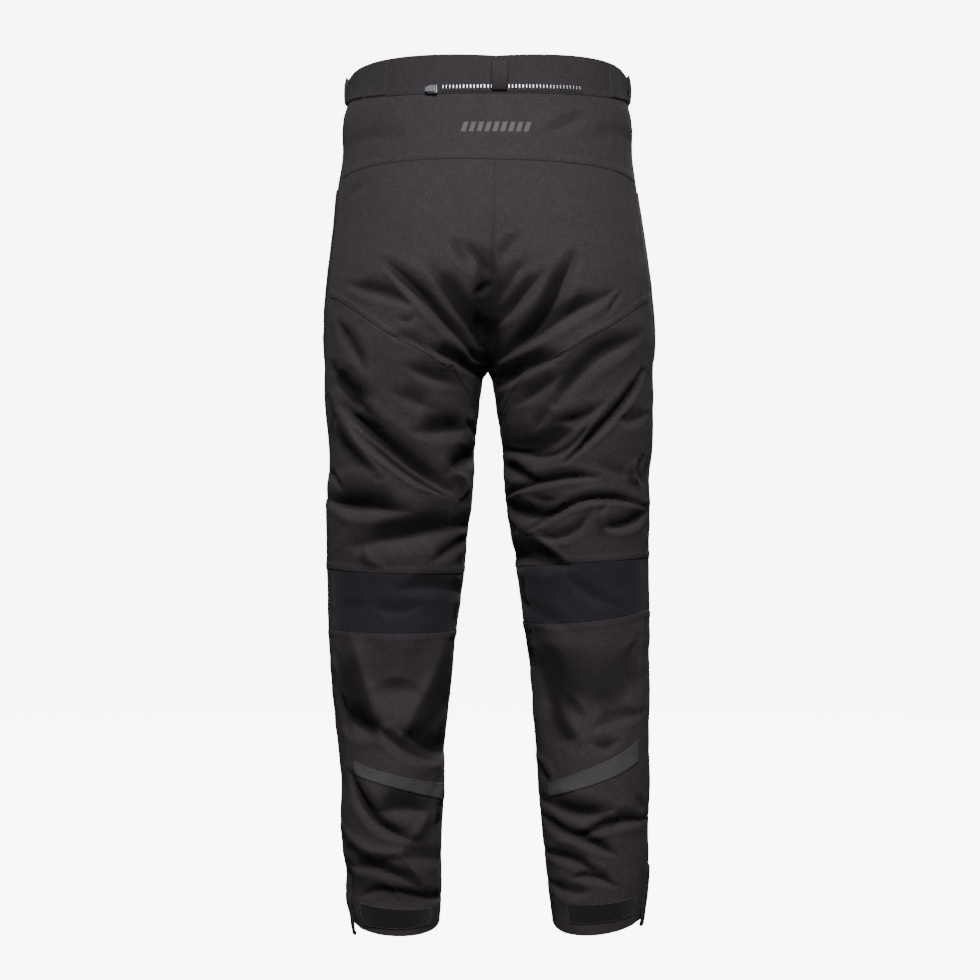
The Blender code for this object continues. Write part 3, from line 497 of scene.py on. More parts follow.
def surface(side, angle, drop):
    """Points of the cloth's outer face, with its folds, for arrays of angles and drops."""
    leg = "left" if side == LEFT else "right"
    outer = curve(OUTLINE, leg + "_outer", drop)
    inner = np.maximum(curve(OUTLINE, leg + "_inner", drop), SEAM_GAP / 2)
    on_back = np.sin(angle) > 0
    meet = np.where(on_back, meeting_angle(drop, "back"), meeting_angle(drop, "front"))
    open_to = squared_cos(meet)
    half_width = (outer - inner) / (1 + open_to)
    middle = curve(PROFILE, "middle", drop)
    reach = np.where(on_back, curve(PROFILE, "back", drop), curve(PROFILE, "front", drop))
    depth = np.abs(reach - middle)
    x = inner + half_width * (open_to - squared_cos(angle))
    y = middle + depth * squared_sin(angle)
    out_x, out_y = -np.cos(angle) / half_width, np.sin(angle) / depth
    size = np.hypot(out_x, out_y)

    base = np.stack([x * side, y, -drop], axis=-1)
    height = folds_at(base, drop, angle)[0]
    slack = ease((drop - SLACK_FROM) / SLACK_SPAN)
    slack *= 1 - 0.6 * np.exp(-((drop - KNEE_DROP) / KNEE_REACH) ** 4)
    stretched = base * (1.0, 1.0, 1.7)
    height += slack * SWELL[1] * cloud(base, SWELL[0], SWELL[2])
    height += (0.12 + 0.88 * slack) * WRINKLE[1] * cloud(stretched, WRINKLE[0], WRINKLE[2])
    height += (0.25 + 0.75 * slack) * CRUMPLE[1] * cloud(stretched, CRUMPLE[0], CRUMPLE[2])

    above_crotch = ease((CROTCH_DROP + 0.004 - drop) / 0.004)
    free = 1 - above_crotch * (1 - ease(x / 0.012))
    one_ring = np.abs(open_to) < 1e-9
    x = x + height * np.where(one_ring, 1, free) * out_x / size
    x = np.where(one_ring, x, np.maximum(x, SEAM_GAP / 2))
    x = x - MIDDLE_LAP * above_crotch * (1 - ease(x / MIDDLE_REACH))
    y = y + height * out_y / size
    x = x * side + curve(SWAY, "shift", drop) * np.clip(np.sin(angle), 0, 1) ** 1.5
    return np.stack([x, y, -drop], axis=-1)


def painted_shade_at(points):
    """Painted shade of the folds at points of the cloth, from 0 to 1, for darkening the cloth's colour."""
    on_back = np.where(points[..., 1] > curve(PROFILE, "middle", -points[..., 2]), math.pi / 2, -math.pi / 2)
    return folds_at(points, -points[..., 2], on_back)[1]


def solve(side, angles, drops):
    """Points and outward unit normals of a grid on the cloth."""
    points = surface(side, angles, drops)
    normals = side * np.cross(np.gradient(points, axis=1), np.gradient(points, axis=0))
    return points, normals / np.linalg.norm(normals, axis=-1, keepdims=True)


def line_drop(side, face, name, share):
    """Drop of a line across a panel, share 0 to 1 from the back's inner edge or the side seam."""
    if face == "back" and name == "seat_seam":
        return curve(SEAT_SEAM, "left" if side == LEFT else "right", share, "share")
    row = LINE_NAMES.index(name)
    corners = ("back_inner", "back_middle", "side")
    if face == "front":
        corners = ("side", "front_middle", "front_inner")
    first, middle, last = (LINES[side][corner][row] for corner in corners)
    return bend_through(first, middle, last, share)


def bend_through(first, middle, last, share):
    """Parabola through three values at shares 0, a half and 1."""
    return (first * (1 - share) * (1 - 2 * share) + 4 * middle * share * (1 - share)
            + last * share * (2 * share - 1))


def row_of(side, name):
    """Row number, counted from the waist seam, at which a line lies."""
    return int(sum(LINES[side]["rows"][:LINE_NAMES.index(name)]))


def leg_drops(side, face, rows, shares):
    """Drops of the cloth below the waist seam at row numbers and shares across a panel."""
    starts = np.cumsum([0, *LINES[side]["rows"][:-1]])
    lines = np.array([line_drop(side, face, name, shares) for name in LINE_NAMES])
    index = np.clip(np.searchsorted(starts, rows, side="right") - 1, 0, len(starts) - 2)
    part = ((rows - starts[index]) / (starts[index + 1] - starts[index]))[:, None]
    return lines[index] * (1 - part) + lines[index + 1] * part


def band_drops(side, face, rows, shares):
    """Drops of the waistband: row 0 is its top edge, 2 and 3 the zip tape's, 4 its seam."""
    back_top, back_middle, side_top, front_middle, front_top = BAND_TOP
    if face == "back":
        top = bend_through(back_top, back_middle, side_top, shares)
    else:
        top = bend_through(side_top, front_middle, front_top, shares)
    seam = line_drop(side, face, "waist_seam", shares) - SEAM_GAP / 2
    zip_top, zip_bottom = seam - ZIP_TAPE_TOP, seam - ZIP_TAPE_BOTTOM
    lines = np.array([top, (top + zip_top) / 2, zip_top, zip_bottom, seam])
    index = np.clip(rows.astype(int), 0, 3)
    part = (rows - index)[:, None]
    return lines[index] * (1 - part) + lines[index + 1] * part


def cloth_grid(side, face, rows, shares, on_band=False, inset=True):
    """Points and normals of a stretch of cloth between its panel's two side edges."""
    drops = (band_drops if on_band else leg_drops)(side, face, rows, shares)
    if inset and not on_band:
        drops[0] += SEAM_GAP / 2
        drops[-1] -= SEAM_GAP / 2
    gap = SEAM_GAP / np.maximum(curve(OUTLINE, "left_outer", drops), 0.1)
    if face == "back":
        start = meeting_angle(drops, "back") + gap
        end = seam_angle(drops) - gap
    else:
        start = seam_angle(drops) + gap
        end = 2 * math.pi - meeting_angle(drops, "front") - gap
    return solve(side, start + (end - start) * shares, drops)


def across_back(grid_of_side):
    """Join the right half, in reverse, to the left half of a piece that spans the back."""
    right_points, right_normals = grid_of_side(RIGHT)
    left_points, left_normals = grid_of_side(LEFT)
    points = np.concatenate([right_points[:, :0:-1], left_points], axis=1)
    normals = np.concatenate([right_normals[:, :0:-1], left_normals], axis=1)
    return points, normals


def places(start, stop, span, spacing, near_start=EDGE_LINES, near_stop=None):
    """Grid lines from start to stop, a spacing apart, with extra lines beside its two ends."""
    near_stop = near_start if near_stop is None else near_stop
    first = start + np.array(near_start) / span * (stop - start)
    last = stop - np.array(near_stop) / span * (stop - start)
    count = max(2, round((span - near_start[-1] - near_stop[-1]) / spacing))
    middle = np.linspace(first[-1], last[-1], count + 1)
    return np.concatenate([first[:-1], middle, last[-2::-1]])


def edge_distances(points):
    """How far each point of a grid lies from each of its four edges."""
    across = np.linalg.norm(np.diff(points, axis=1), axis=-1)
    down = np.linalg.norm(np.diff(points, axis=0), axis=-1)
    across = np.pad(np.cumsum(across, axis=1), ((0, 0), (1, 0)))
    down = np.pad(np.cumsum(down, axis=0), ((1, 0), (0, 0)))
    return {"start": across, "end": across[:, -1:] - across, "top": down, "bottom": down[-1:] - down}


def edge_height(distance, kind):
    """How far the cloth's outer face rises near an edge of that kind."""
    if kind == "over":
        height = LAP_RISE * (1 - ease((distance - LAP_REACH) / 0.003))
        height -= 0.0006 * np.clip(1 - distance / 0.0010, 0, 1) ** 2
        return height - 0.00022 * np.exp(-((distance - FIRST_ROW) / 0.0008) ** 2)
    if kind == "under":
        return -0.0002 * (1 - ease(distance / 0.0030))
    if kind == "butt":
        return 0.0003 * (1 - ease((distance - 0.005) / 0.004)) - 0.0009 * np.exp(-(distance / 0.0012) ** 2)
    if kind == "hem":
        height = 0.0004 * (1 - ease((distance - 0.017) / 0.002))
        return height - 0.0009 * np.clip(1 - distance / 0.0014, 0, 1) ** 2
    return -0.0008 * np.clip(1 - distance / 0.0014, 0, 1) ** 2


def link(made, finish, body="garment"):
    """Finish a piece: its material, slot and the body it rides on."""
    made.data.materials.clear()
    made.data.materials.append(finish)
    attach(made, body)
    return made


def mesh_data(name, mesh):
    """Mesh data of a finished bmesh, which is let go."""
    data = bpy.data.meshes.new(name)
    mesh.to_mesh(data)
    mesh.free()
    return data


def new_object(name, data):
    made = bpy.data.objects.new(name, data)
    bpy.context.scene.collection.objects.link(made)
    return made


def slab(name, points, normals, low, high, handed, painted_shade=None):
    """A wall over a grid: a flat grid is extruded, and each face then takes its place on the cloth."""
    rows, columns = points.shape[:2]
    low = np.broadcast_to(low, (rows, columns))
    high = np.broadcast_to(high, (rows, columns))
    mesh = bmesh.new()
    bmesh.ops.create_grid(mesh, x_segments=columns - 1, y_segments=rows - 1, size=0.5)
    grown = bmesh.ops.extrude_face_region(mesh, geom=list(mesh.faces))
    over = [item for item in grown["geom"] if isinstance(item, bmesh.types.BMVert)]
    bmesh.ops.translate(mesh, verts=over, vec=(0, 0, 1))
    bmesh.ops.recalc_face_normals(mesh, faces=mesh.faces)
    if handed == LEFT:
        bmesh.ops.reverse_faces(mesh, faces=mesh.faces)
    data = mesh_data(name, mesh)
    flat = np.empty(len(data.vertices) * 3)
    data.vertices.foreach_get("co", flat)
    flat = flat.reshape(-1, 3)
    column = np.rint((flat[:, 0] + 0.5) * (columns - 1)).astype(int)
    row = np.rint((0.5 - flat[:, 1]) * (rows - 1)).astype(int)
    height = np.where(flat[:, 2] > 0.5, high[row, column], low[row, column])
    place = points[row, column] + normals[row, column] * height[:, None]
    data.vertices.foreach_set("co", place.ravel())

    # The folds' painted shade is kept on the points for the cloth's colour
    if painted_shade is not None:
        painted_shade_layer = data.attributes.new(name="painted_shade", type="FLOAT", domain="POINT")
        painted_shade_layer.data.foreach_set("value", np.clip(painted_shade[row, column], 0, 1))
    reach = edge_distances(points)
    u = reach["start"] - reach["start"][:, columns // 2][:, None]
    cut = np.stack([u, -reach["top"]], axis=-1)[row, column]
    corner = np.empty(len(data.loops), dtype=int)
    data.loops.foreach_get("vertex_index", corner)
    data.uv_layers.new(name="cut").data.foreach_set("uv", cut[corner].ravel())
    data.shade_smooth()
    data.set_sharp_from_angle(angle=math.radians(55))
    data.update()
    return new_object(name, data)


def tiled(name, template, centres, axes, finish):
    """One mesh of many copies of a small template, each with its own three axes."""
    data = mesh_data(name + "_one", template)
    flat = np.array([vert.co for vert in data.vertices])
    faces = [np.array(face.vertices) for face in data.polygons]
    bpy.data.meshes.remove(data)
    verts = centres[:, None, :] + np.einsum("vk,nkc->nvc", flat, axes)
    joined = [(face + copy * len(flat)).tolist() for copy in range(len(centres)) for face in faces]
    data = bpy.data.meshes.new(name)
    data.from_pydata(verts.reshape(-1, 3).tolist(), [], joined)
    data.shade_smooth()
    data.update()
    return link(new_object(name, data), finish)


def border_path(points, normals, border, inside):
    """Line on the cloth at one distance inside an edge, with its normals."""
    reach = edge_distances(points)[border]
    if border in ("start", "end"):
        reach, points, normals = reach.T, points.swapaxes(0, 1), normals.swapaxes(0, 1)
    if border in ("bottom", "end"):
        reach, points, normals = reach[::-1], points[::-1], normals[::-1]
    path, out = [], []
    for line in range(points.shape[1]):
        path.append([np.interp(inside, reach[:, line], points[:, line, axis]) for axis in range(3)])
        out.append([np.interp(inside, reach[:, line], normals[:, line, axis]) for axis in range(3)])
    return np.array(path), np.array(out)


def along_path(path, normals, pitch, margin):
    """Evenly spaced centres along a path with their tangents and normals."""
    run = np.pad(np.cumsum(np.linalg.norm(np.diff(path, axis=0), axis=1)), (1, 0))
    count = int((run[-1] - 2 * margin) / pitch)
    at = margin + (run[-1] - 2 * margin - count * pitch) / 2 + pitch * (np.arange(count) + 0.5)

    def read(values, where):
        return np.stack([np.interp(where, run, values[:, axis]) for axis in range(3)], axis=-1)

    centre, out = read(path, at), read(normals, at)
    tangent = read(path, at + 0.001) - read(path, at - 0.001)
    tangent /= np.linalg.norm(tangent, axis=1, keepdims=True)
    out -= tangent * np.sum(out * tangent, axis=1, keepdims=True)
    out /= np.linalg.norm(out, axis=1, keepdims=True)
    return centre, tangent, out


class Stitching:
    """Gathers rows of topstitching and makes them one piece of thread."""

    def __init__(self):
        self.centres, self.axes = [], []

    def row(self, path, normals, lift, margin=0.002):
        centre, tangent, out = along_path(path, normals, STITCH_PITCH, margin)
        across = np.cross(out, tangent)
        self.centres.append(centre + out * lift)
        self.axes.append(np.stack([tangent * STITCH_LENGTH / 2, across * STITCH_RADIUS,
                                   out * STITCH_RADIUS], axis=1))

    def make(self, name, finish="thread"):
        template = bmesh.new()
        bmesh.ops.create_uvsphere(template, u_segments=6, v_segments=4, radius=1.0,
                                  matrix=Matrix.Rotation(math.pi / 2, 4, "Y"))
        return tiled(name, template, np.concatenate(self.centres), np.concatenate(self.axes),
                     FINISH[finish])


def node(tree, kind, **settings):
    """Add a shader node; settings name its properties, or its inputs by name or number."""
    made = tree.nodes.new(kind)
    for key, value in settings.items():
        if hasattr(made, key):
            setattr(made, key, value)
        else:
            made.inputs[key.replace("_", " ")].default_value = value
    return made


def calc(tree, operation, first, second=None):
    made = tree.nodes.new("ShaderNodeMath")
    made.operation = operation
    for socket, value in zip(made.inputs, (first, second)):
        if isinstance(value, (int, float)):
            socket.default_value = value
        elif value is not None:
            tree.links.new(value, socket)
    return made.outputs[0]


def weighted(tree, base, *terms):
    """A number plus each value times its weight."""
    total = base
    for value, weight in terms:
        total = calc(tree, "ADD", calc(tree, "MULTIPLY", value, weight), total)
    return total


def blank_material(name, roughness, specular, sheen=0.0, metallic=0.0):
    made = bpy.data.materials.new(name)
    made.use_nodes = True
    shader = made.node_tree.nodes["Principled BSDF"]
    shader.inputs["Roughness"].default_value = roughness
    shader.inputs["Specular IOR Level"].default_value = specular
    shader.inputs["Metallic"].default_value = metallic
    shader.inputs["Sheen Weight"].default_value = sheen
    shader.inputs["Sheen Roughness"].default_value = 0.5
    return made, made.node_tree, shader


def noise(tree, vector, scale, detail=3.0, roughness=0.55):
    made = node(tree, "ShaderNodeTexNoise", Scale=scale, Detail=detail, Roughness=roughness)
    tree.links.new(vector, made.inputs["Vector"])
    return made.outputs["Fac"]


def ramp(tree, value, low, high):
    """Blend from low to high, each a colour or another blend."""
    made = tree.nodes.new("ShaderNodeMix")
    made.data_type = "RGBA"
    for socket in made.inputs:
        for name, colour in (("A", low), ("B", high)):
            if socket.name == name and socket.type == "RGBA":
                if isinstance(colour, tuple):
                    socket.default_value = (*colour, 1)
                else:
                    tree.links.new(colour, socket)
    tree.links.new(value, made.inputs[0])
    return next(item for item in made.outputs if item.type == "RGBA")


def bumped(tree, shader, layers):
    """Stack of bumps: height, strength and depth of each."""
    last = None
    for height, strength, depth in layers:
        made = node(tree, "ShaderNodeBump", Strength=strength, Distance=depth)
        tree.links.new(height, made.inputs["Height"])
        if last is not None:
            tree.links.new(last, made.inputs["Normal"])
        last = made.outputs["Normal"]
    tree.links.new(last, shader.inputs["Normal"])


def woven(tree, cut, pitch):
    """Height of a plain weave: yarns that pass over and under each other."""
    split = node(tree, "ShaderNodeSeparateXYZ")
    tree.links.new(cut, split.inputs[0])
    u = calc(tree, "MULTIPLY", split.outputs[0], math.pi / pitch)
    v = calc(tree, "MULTIPLY", split.outputs[1], math.pi / pitch)
    warp = calc(tree, "ABSOLUTE", calc(tree, "SINE", u))
    weft = calc(tree, "ABSOLUTE", calc(tree, "SINE", v))
    swap = calc(tree, "MULTIPLY", calc(tree, "COSINE", u), calc(tree, "COSINE", v))
    top = calc(tree, "GREATER_THAN", swap, 0.0)
    over = calc(tree, "MULTIPLY", warp, top)
    under = calc(tree, "MULTIPLY", weft, calc(tree, "SUBTRACT", 1.0, top))
    return calc(tree, "ADD", over, under)


def weft_ribs(tree, cut, pitch):
    """Height of ribs that run down the cloth."""
    split = node(tree, "ShaderNodeSeparateXYZ")
    tree.links.new(cut, split.inputs[0])
    wave = calc(tree, "SINE", calc(tree, "MULTIPLY", split.outputs[0], 2 * math.pi / pitch))
    return weighted(tree, 0.5, (wave, 0.5))


def slubs(tree, cut, fine, long):
    """Uneven threads: short streaks along the warp and along the weft."""
    streaks = []
    for scale in ((fine, long, 1.0), (long, fine, 1.0)):
        stretch = node(tree, "ShaderNodeMapping", Scale=scale)
        tree.links.new(cut, stretch.inputs["Vector"])
        streaks.append(noise(tree, stretch.outputs[0], 1.0, 2.0))
    return calc(tree, "ADD", *streaks)


def cloth_finish(name, dark, light, pitch, roughness, sheen, weave=woven, weave_bump=0.35):
    """Woven or ribbed cloth that reads the cut of each piece for its threads, with painted shade from the
    folds darkening its colour.
    """
    made, tree, shader = blank_material(name, roughness, 0.16, sheen)
    cut = node(tree, "ShaderNodeUVMap", uv_map="cut").outputs[0]
    solid = node(tree, "ShaderNodeTexCoord").outputs["Object"]
    threads = weave(tree, cut, pitch)
    mottle = noise(tree, solid, 38.0, 4.0)
    grain = noise(tree, solid, 640.0, 2.0)
    slub = slubs(tree, cut, 620.0, 90.0)
    tone = weighted(tree, -0.64, (mottle, 0.24), (grain, 0.90), (slub, 0.52), (threads, 0.12))
    # Painted shade: the colour is blended towards a darker tone where the folds' painted shade is stored
    painted_shade = node(tree, "ShaderNodeAttribute", attribute_name="painted_shade").outputs["Fac"]
    inner = tuple(PAINTED_SHADE_TONE * part for part in dark)
    open_cloth = ramp(tree, tone, dark, light)
    tree.links.new(ramp(tree, painted_shade, open_cloth, inner), shader.inputs["Base Color"])
    tree.links.new(weighted(tree, roughness - 0.10, (grain, 0.20)), shader.inputs["Roughness"])
    dents = noise(tree, solid, 95.0, 3.0)
    bumped(tree, shader, ((dents, 0.22, 0.0008), (grain, 0.36, 0.0005), (slub, 0.22, 0.0003),
                          (threads, weave_bump, 0.0003)))
    return made


def pile_finish():
    """Short looped pile."""
    made, tree, shader = blank_material("loop_pile_finish", 0.95, 0.15, 0.25)
    solid = node(tree, "ShaderNodeTexCoord").outputs["Object"]
    loops = noise(tree, solid, 1100.0, 2.0, 0.7)
    tree.links.new(ramp(tree, loops, (0.004, 0.004, 0.004), (0.022, 0.021, 0.022)),
                   shader.inputs["Base Color"])
    bumped(tree, shader, ((loops, 0.9, 0.0008),))
    return made


def metal_finish(name, colour, roughness):
    made, tree, shader = blank_material(name, roughness, 0.5, metallic=1.0)
    solid = node(tree, "ShaderNodeTexCoord").outputs["Object"]
    grain = noise(tree, solid, 900.0, 4.0)
    dark = tuple(part * 0.75 for part in colour)
    tree.links.new(ramp(tree, grain, dark, colour), shader.inputs["Base Color"])
    tree.links.new(weighted(tree, roughness - 0.12, (grain, 0.25)), shader.inputs["Roughness"])
    bumped(tree, shader, ((grain, 0.2, 0.0002),))
    return made


def thread_finish(name, dark, light):
    made, tree, shader = blank_material(name, 0.55, 0.4, 0.1)
    solid = node(tree, "ShaderNodeTexCoord").outputs["Object"]
    twist = noise(tree, solid, 2400.0, 2.0)
    tree.links.new(ramp(tree, twist, dark, light), shader.inputs["Base Color"])
    bumped(tree, shader, ((twist, 0.3, 0.0002),))
    return made


FINISH = {
    "cloth": cloth_finish("black_cloth_finish", (0.024, 0.0195, 0.0225), (0.074, 0.061, 0.069), 0.0007, 0.84,
                          0.03),
    "knee": cloth_finish("knee_cloth_finish", (0.0122, 0.0106, 0.0146), (0.0385, 0.033, 0.0445), 0.0012, 0.80,
                         0.06, weft_ribs, 0.25),
    "webbing": cloth_finish("webbing_finish", (0.016, 0.0140, 0.0155), (0.058, 0.050, 0.056), 0.0016, 0.80,
                            0.04, weft_ribs, 0.6),
    "band": cloth_finish("waistband_finish", (0.0205, 0.0170, 0.0195), (0.0625, 0.0520, 0.0590), 0.0007,
                         0.84, 0.03),
    "tab": cloth_finish("tab_finish", (0.020, 0.0175, 0.0195), (0.064, 0.056, 0.062), 0.0007, 0.84, 0.03),
    "reflective": cloth_finish("reflective_finish", (0.060, 0.0565, 0.0605), (0.108, 0.1025, 0.109), 0.0011,
                               0.55, 0.0, woven, 0.15),
    "pile": pile_finish(),
    "metal": metal_finish("zip_metal_finish", (0.46, 0.48, 0.52), 0.36),
    "thread": thread_finish("thread_finish", (0.018, 0.017, 0.018), (0.045, 0.042, 0.045)),
    "grey_thread": thread_finish("grey_thread_finish", (0.075, 0.072, 0.075), (0.160, 0.155, 0.160)),
    "print": cloth_finish("grey_print_finish", (0.085, 0.083, 0.086), (0.16, 0.158, 0.16), 0.0007, 0.6, 0.0,
                          woven, 0.3),
}

# Panels below the waist seam: face, upper and lower line, finish, kinds of the top, bottom, start
# and end edges, and the topstitching rows as edge and distance
PANELS = {
    "seat": ("back", "yoke_seam", "seat_seam", "cloth", ("under", "over", "butt", "over"),
             (("bottom", FIRST_ROW), ("end", FIRST_ROW), ("end", SECOND_ROW))),
    "thigh_back": ("back", "seat_seam", "knee_top", "cloth", ("under", "over", "butt", "over"),
                   (("bottom", FIRST_ROW), ("end", FIRST_ROW), ("end", SECOND_ROW))),
    "knee_band": ("back", "knee_top", "knee_bottom", "knee", ("under", "under", "butt", "under"), ()),
    "calf": ("back", "knee_bottom", "hem", "cloth", ("over", "hem", "butt", "over"),
             (("top", FIRST_ROW), ("bottom", FIRST_ROW), ("end", FIRST_ROW), ("end", SECOND_ROW))),
    "front_thigh": ("front", "waist_seam", "knee_top", "cloth", ("under", "over", "under", "butt"),
                    (("bottom", FIRST_ROW), ("bottom", SECOND_ROW))),
    "knee_front": ("front", "knee_top", "knee_bottom", "cloth", ("under", "under", "under", "butt"), ()),
    "shin": ("front", "knee_bottom", "hem", "cloth", ("over", "hem", "under", "butt"),
             (("top", FIRST_ROW), ("top", SECOND_ROW), ("bottom", FIRST_ROW))),
}
BORDERS = ("top", "bottom", "start", "end")


def relief(points, kinds):
    """Height of the outer face over a grid whose four edges are of those kinds."""
    reach = edge_distances(points)
    return sum(edge_height(reach[border], kind) for border, kind in zip(BORDERS, kinds))


def sink_middle_seam(points, height, border):
    """Above the crotch the middle seam sinks straight in, so that its two sides stay together."""
    depth = edge_height(edge_distances(points)[border], "butt")
    depth *= ease((CROTCH_DROP + points[..., 2]) / 0.01)
    sunk = points.copy()
    sunk[..., 1] += depth * np.sign(points[..., 1])
    return sunk, height - depth


def sew_panel(name, node_name, grid, kinds, rows, wall, finish, handed, stitching):
    """One cut piece with its folded edges and topstitching."""
    points, normals = grid
    height = relief(points, kinds)
    if "butt" in kinds:
        points, height = sink_middle_seam(points, height, BORDERS[kinds.index("butt")])
    # The folds' painted shade is stored on the piece for its colour
    made = link(slab(name, points, normals, -wall, height, handed, painted_shade_at(points)), FINISH[finish])
    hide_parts(node_name)
    top = points + normals * height[..., None]
    for border, inside in rows:
        stitching.row(*border_path(top, normals, border, inside), lift=STITCH_RADIUS * 0.35)
    return made, (top, normals)


def fine_rows(side, face, first, last, spacing):
    """Row numbers between two lines, close enough together for the folds."""
    names = LINE_NAMES[LINE_NAMES.index(first):LINE_NAMES.index(last) + 1]
    share = np.linspace(0, 1, 9)
    rows = []
    for upper, lower in zip(names, names[1:]):
        span = np.max(line_drop(side, face, lower, share) - line_drop(side, face, upper, share))
        stretch = places(row_of(side, upper), row_of(side, lower), span, spacing,
                         EDGE_LINES if upper == first else (0.0,), EDGE_LINES if lower == last else (0.0,))
        rows.extend(stretch[:-1])
    return np.append(rows, row_of(side, last))


def make_panels():
    """Seat, back thigh, knee band, calf, front thigh, knee and shin of each leg."""
    made = {}
    for side, leg in LEGS:
        thread = Stitching()
        for piece, (face, first, last, finish, kinds, rows) in PANELS.items():
            spacing = BACK_SPACING if face == "back" else FRONT_SPACING
            width = 0.27 if last != "hem" else 0.21
            shares = places(0, 1, width, spacing)
            grid = cloth_grid(side, face, fine_rows(side, face, first, last, spacing), shares)
            node_name = f"{piece}_{leg}"
            made[piece, side] = sew_panel(f"sewn_{node_name}", node_name, grid, kinds, rows, CLOTH,
                                          finish, side, thread)
        thread.make(f"topstitching_{leg}_leg")
    return made


def make_yoke(thread):
    shares = places(0, 1, 0.21, BACK_SPACING, (0.0,), EDGE_LINES)
    rows = fine_rows(LEFT, "back", "waist_seam", "yoke_seam", BACK_SPACING)
    grid = across_back(lambda side: cloth_grid(side, "back", rows, shares))
    return sew_panel("sewn_yoke_back", "yoke_back", grid, ("under", "over", "butt", "butt"),
                     (("bottom", FIRST_ROW),), CLOTH, "cloth", LEFT, thread)


def make_waistband(thread):
    made = {}
    rows = places(0, 4, 0.045, 0.0022)
    shares = places(0, 1, 0.20, 0.003, (0.0,), EDGE_LINES)
    grid = across_back(lambda side: cloth_grid(side, "back", rows, shares, on_band=True))
    kinds = ("fold", "over", "under", "under")
    made["back"] = sew_panel("sewn_waistband_back", "waistband_back", grid, kinds, (("bottom", FIRST_ROW),),
                             WAISTBAND, "band", LEFT, thread)
    shares = places(0, 1, 0.19, 0.0034)
    for side, leg in LEGS:
        grid = cloth_grid(side, "front", rows, shares, on_band=True)
        made[side] = sew_panel(f"sewn_waistband_front_{leg}", f"waistband_front_{leg}", grid, kinds,
                               (("bottom", FIRST_ROW),), WAISTBAND, "band", side, thread)
    return made


def rounded(points, wall, radius=0.0008):
    """Height of a thin piece over its grid, rounded off towards all four edges."""
    nearest = np.minimum.reduce(list(edge_distances(points).values()))
    inside = np.clip(nearest / radius, 0, 1)
    return wall * (0.35 + 0.65 * np.sqrt(1 - (1 - inside) ** 2))


TRIM_EDGE = (0.0, 0.0003, 0.0007, 0.0012)


def lying(side, face, rows, shares, on_band=False):
    """Grid of a piece that lies on a panel. Rows and shares are each start, stop, length, spacing."""
    rows, shares = (places(*stretch, TRIM_EDGE) for stretch in (rows, shares))
    return cloth_grid(side, face, rows, shares, on_band, inset=False)


def trim(name, node_name, grid, wall, finish, handed, lift=OVERLAY_LIFT, shape=0.0):
    """A flat piece sewn on the cloth: the cloth's own points moved out, with rounded edges."""
    points, normals = grid
    height = lift + rounded(points, wall) + shape
    made = link(slab(name, points, normals, lift, height, handed), FINISH[finish])
    if node_name:
        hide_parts(node_name)
    return made, (points + normals * height[..., None], normals)


def box_stitch(thread, grid, inside=0.0022, borders=BORDERS):
    for border in borders:
        thread.row(*border_path(*grid, border, inside), lift=STITCH_RADIUS * 0.3, margin=inside)


# Columns of the back at which each tape and each loop-pile patch start and stop
TAPE_ENDS = {LEFT: (1.0, 10.9), RIGHT: (3.0, 11.4)}
PATCH_ENDS = {LEFT: (3.2, 11.0), RIGHT: (4.5, 11.6)}


def make_leg_trim(thread):
    """Reflective tape, loop-pile patch and pocket welt of each leg, and the fly."""
    made, patch_thread = {}, Stitching()
    for side, leg in LEGS:
        lines = {name: row_of(side, name) for name in LINE_NAMES}
        start, stop = (column / BACK_COLUMNS for column in TAPE_ENDS[side])
        grid = lying(side, "back", (lines["tape_top"], lines["tape_bottom"], 0.021, 0.0022),
                     (start, stop, 0.19, 0.0024))
        made["tape", side], top = trim(f"tape_{leg}_calf", f"reflective_tape_{leg}", grid, TAPE_WALL,
                                       "reflective", side, OVERLAY_LIFT + 0.0002)
        box_stitch(thread, top, 0.0016, ("top", "bottom"))

        start, stop = (column / BACK_COLUMNS for column in PATCH_ENDS[side])
        grid = lying(side, "back", (lines["patch_top"], lines["patch_bottom"], 0.025, 0.0011),
                     (start, stop, 0.125, 0.0012))
        fuzz = 0.00035 * cloud(grid[0], 0.0011, 21) + 0.00025 * cloud(grid[0], 0.0023, 22)
        made["patch", side], top = trim(f"pile_patch_{leg}_cuff", f"cuff_loop_patch_{leg}", grid,
                                        PATCH_WALL, "pile", side, shape=fuzz)
        box_stitch(patch_thread, top, 0.0012)

        grid = lying(side, "front", (lines["yoke_seam"] + 0.3, lines["seat_seam"] + 1.2, 0.21, 0.004),
                     (1.3 / FRONT_COLUMNS, 2.1 / FRONT_COLUMNS, 0.022, 0.0025))
        made["welt", side], top = trim(f"welt_{leg}_pocket", f"pocket_welt_{leg}", grid, STRAP_WALL,
                                       "cloth", side)
        box_stitch(thread, top)
    patch_thread.make("topstitching_patches", "grey_thread")
    grid = lying(LEFT, "front", (0.15, row_of(LEFT, "yoke_seam") + 3.6, 0.19, 0.004),
                 (7.35 / FRONT_COLUMNS, 1.0, 0.040, 0.0032))
    top = trim("flap_fly", "fly_facing", grid, STRAP_WALL, "cloth", LEFT, 0.0009)[1]
    box_stitch(thread, top, borders=("start", "bottom"))
    return made


# Half the turn over which the ring's radius is measured
TURN_STEP = 0.03


def strip_grid(side, centre, width, drops, spacing=0.0022):
    """A strip of cloth surface that runs down at one angle."""
    share = places(-0.5, 0.5, width, spacing, TRIM_EDGE)
    drops = np.repeat(np.array(drops)[:, None], len(share), axis=1)
    turn = surface(side, centre + TURN_STEP, drops) - surface(side, centre - TURN_STEP, drops)
    radius = np.linalg.norm(turn, axis=-1) / (2 * TURN_STEP)
    return solve(side, centre + share * width / radius, drops)


# Cuff tabs: width, length, the drop of each one's lower end, and the angle at which they lie
TAB_WIDTH, TAB_LENGTH = 0.024, 0.075
TAB_ENDS = {LEFT: 1.072, RIGHT: 1.061}
TAB_ANGLE = math.radians(162)


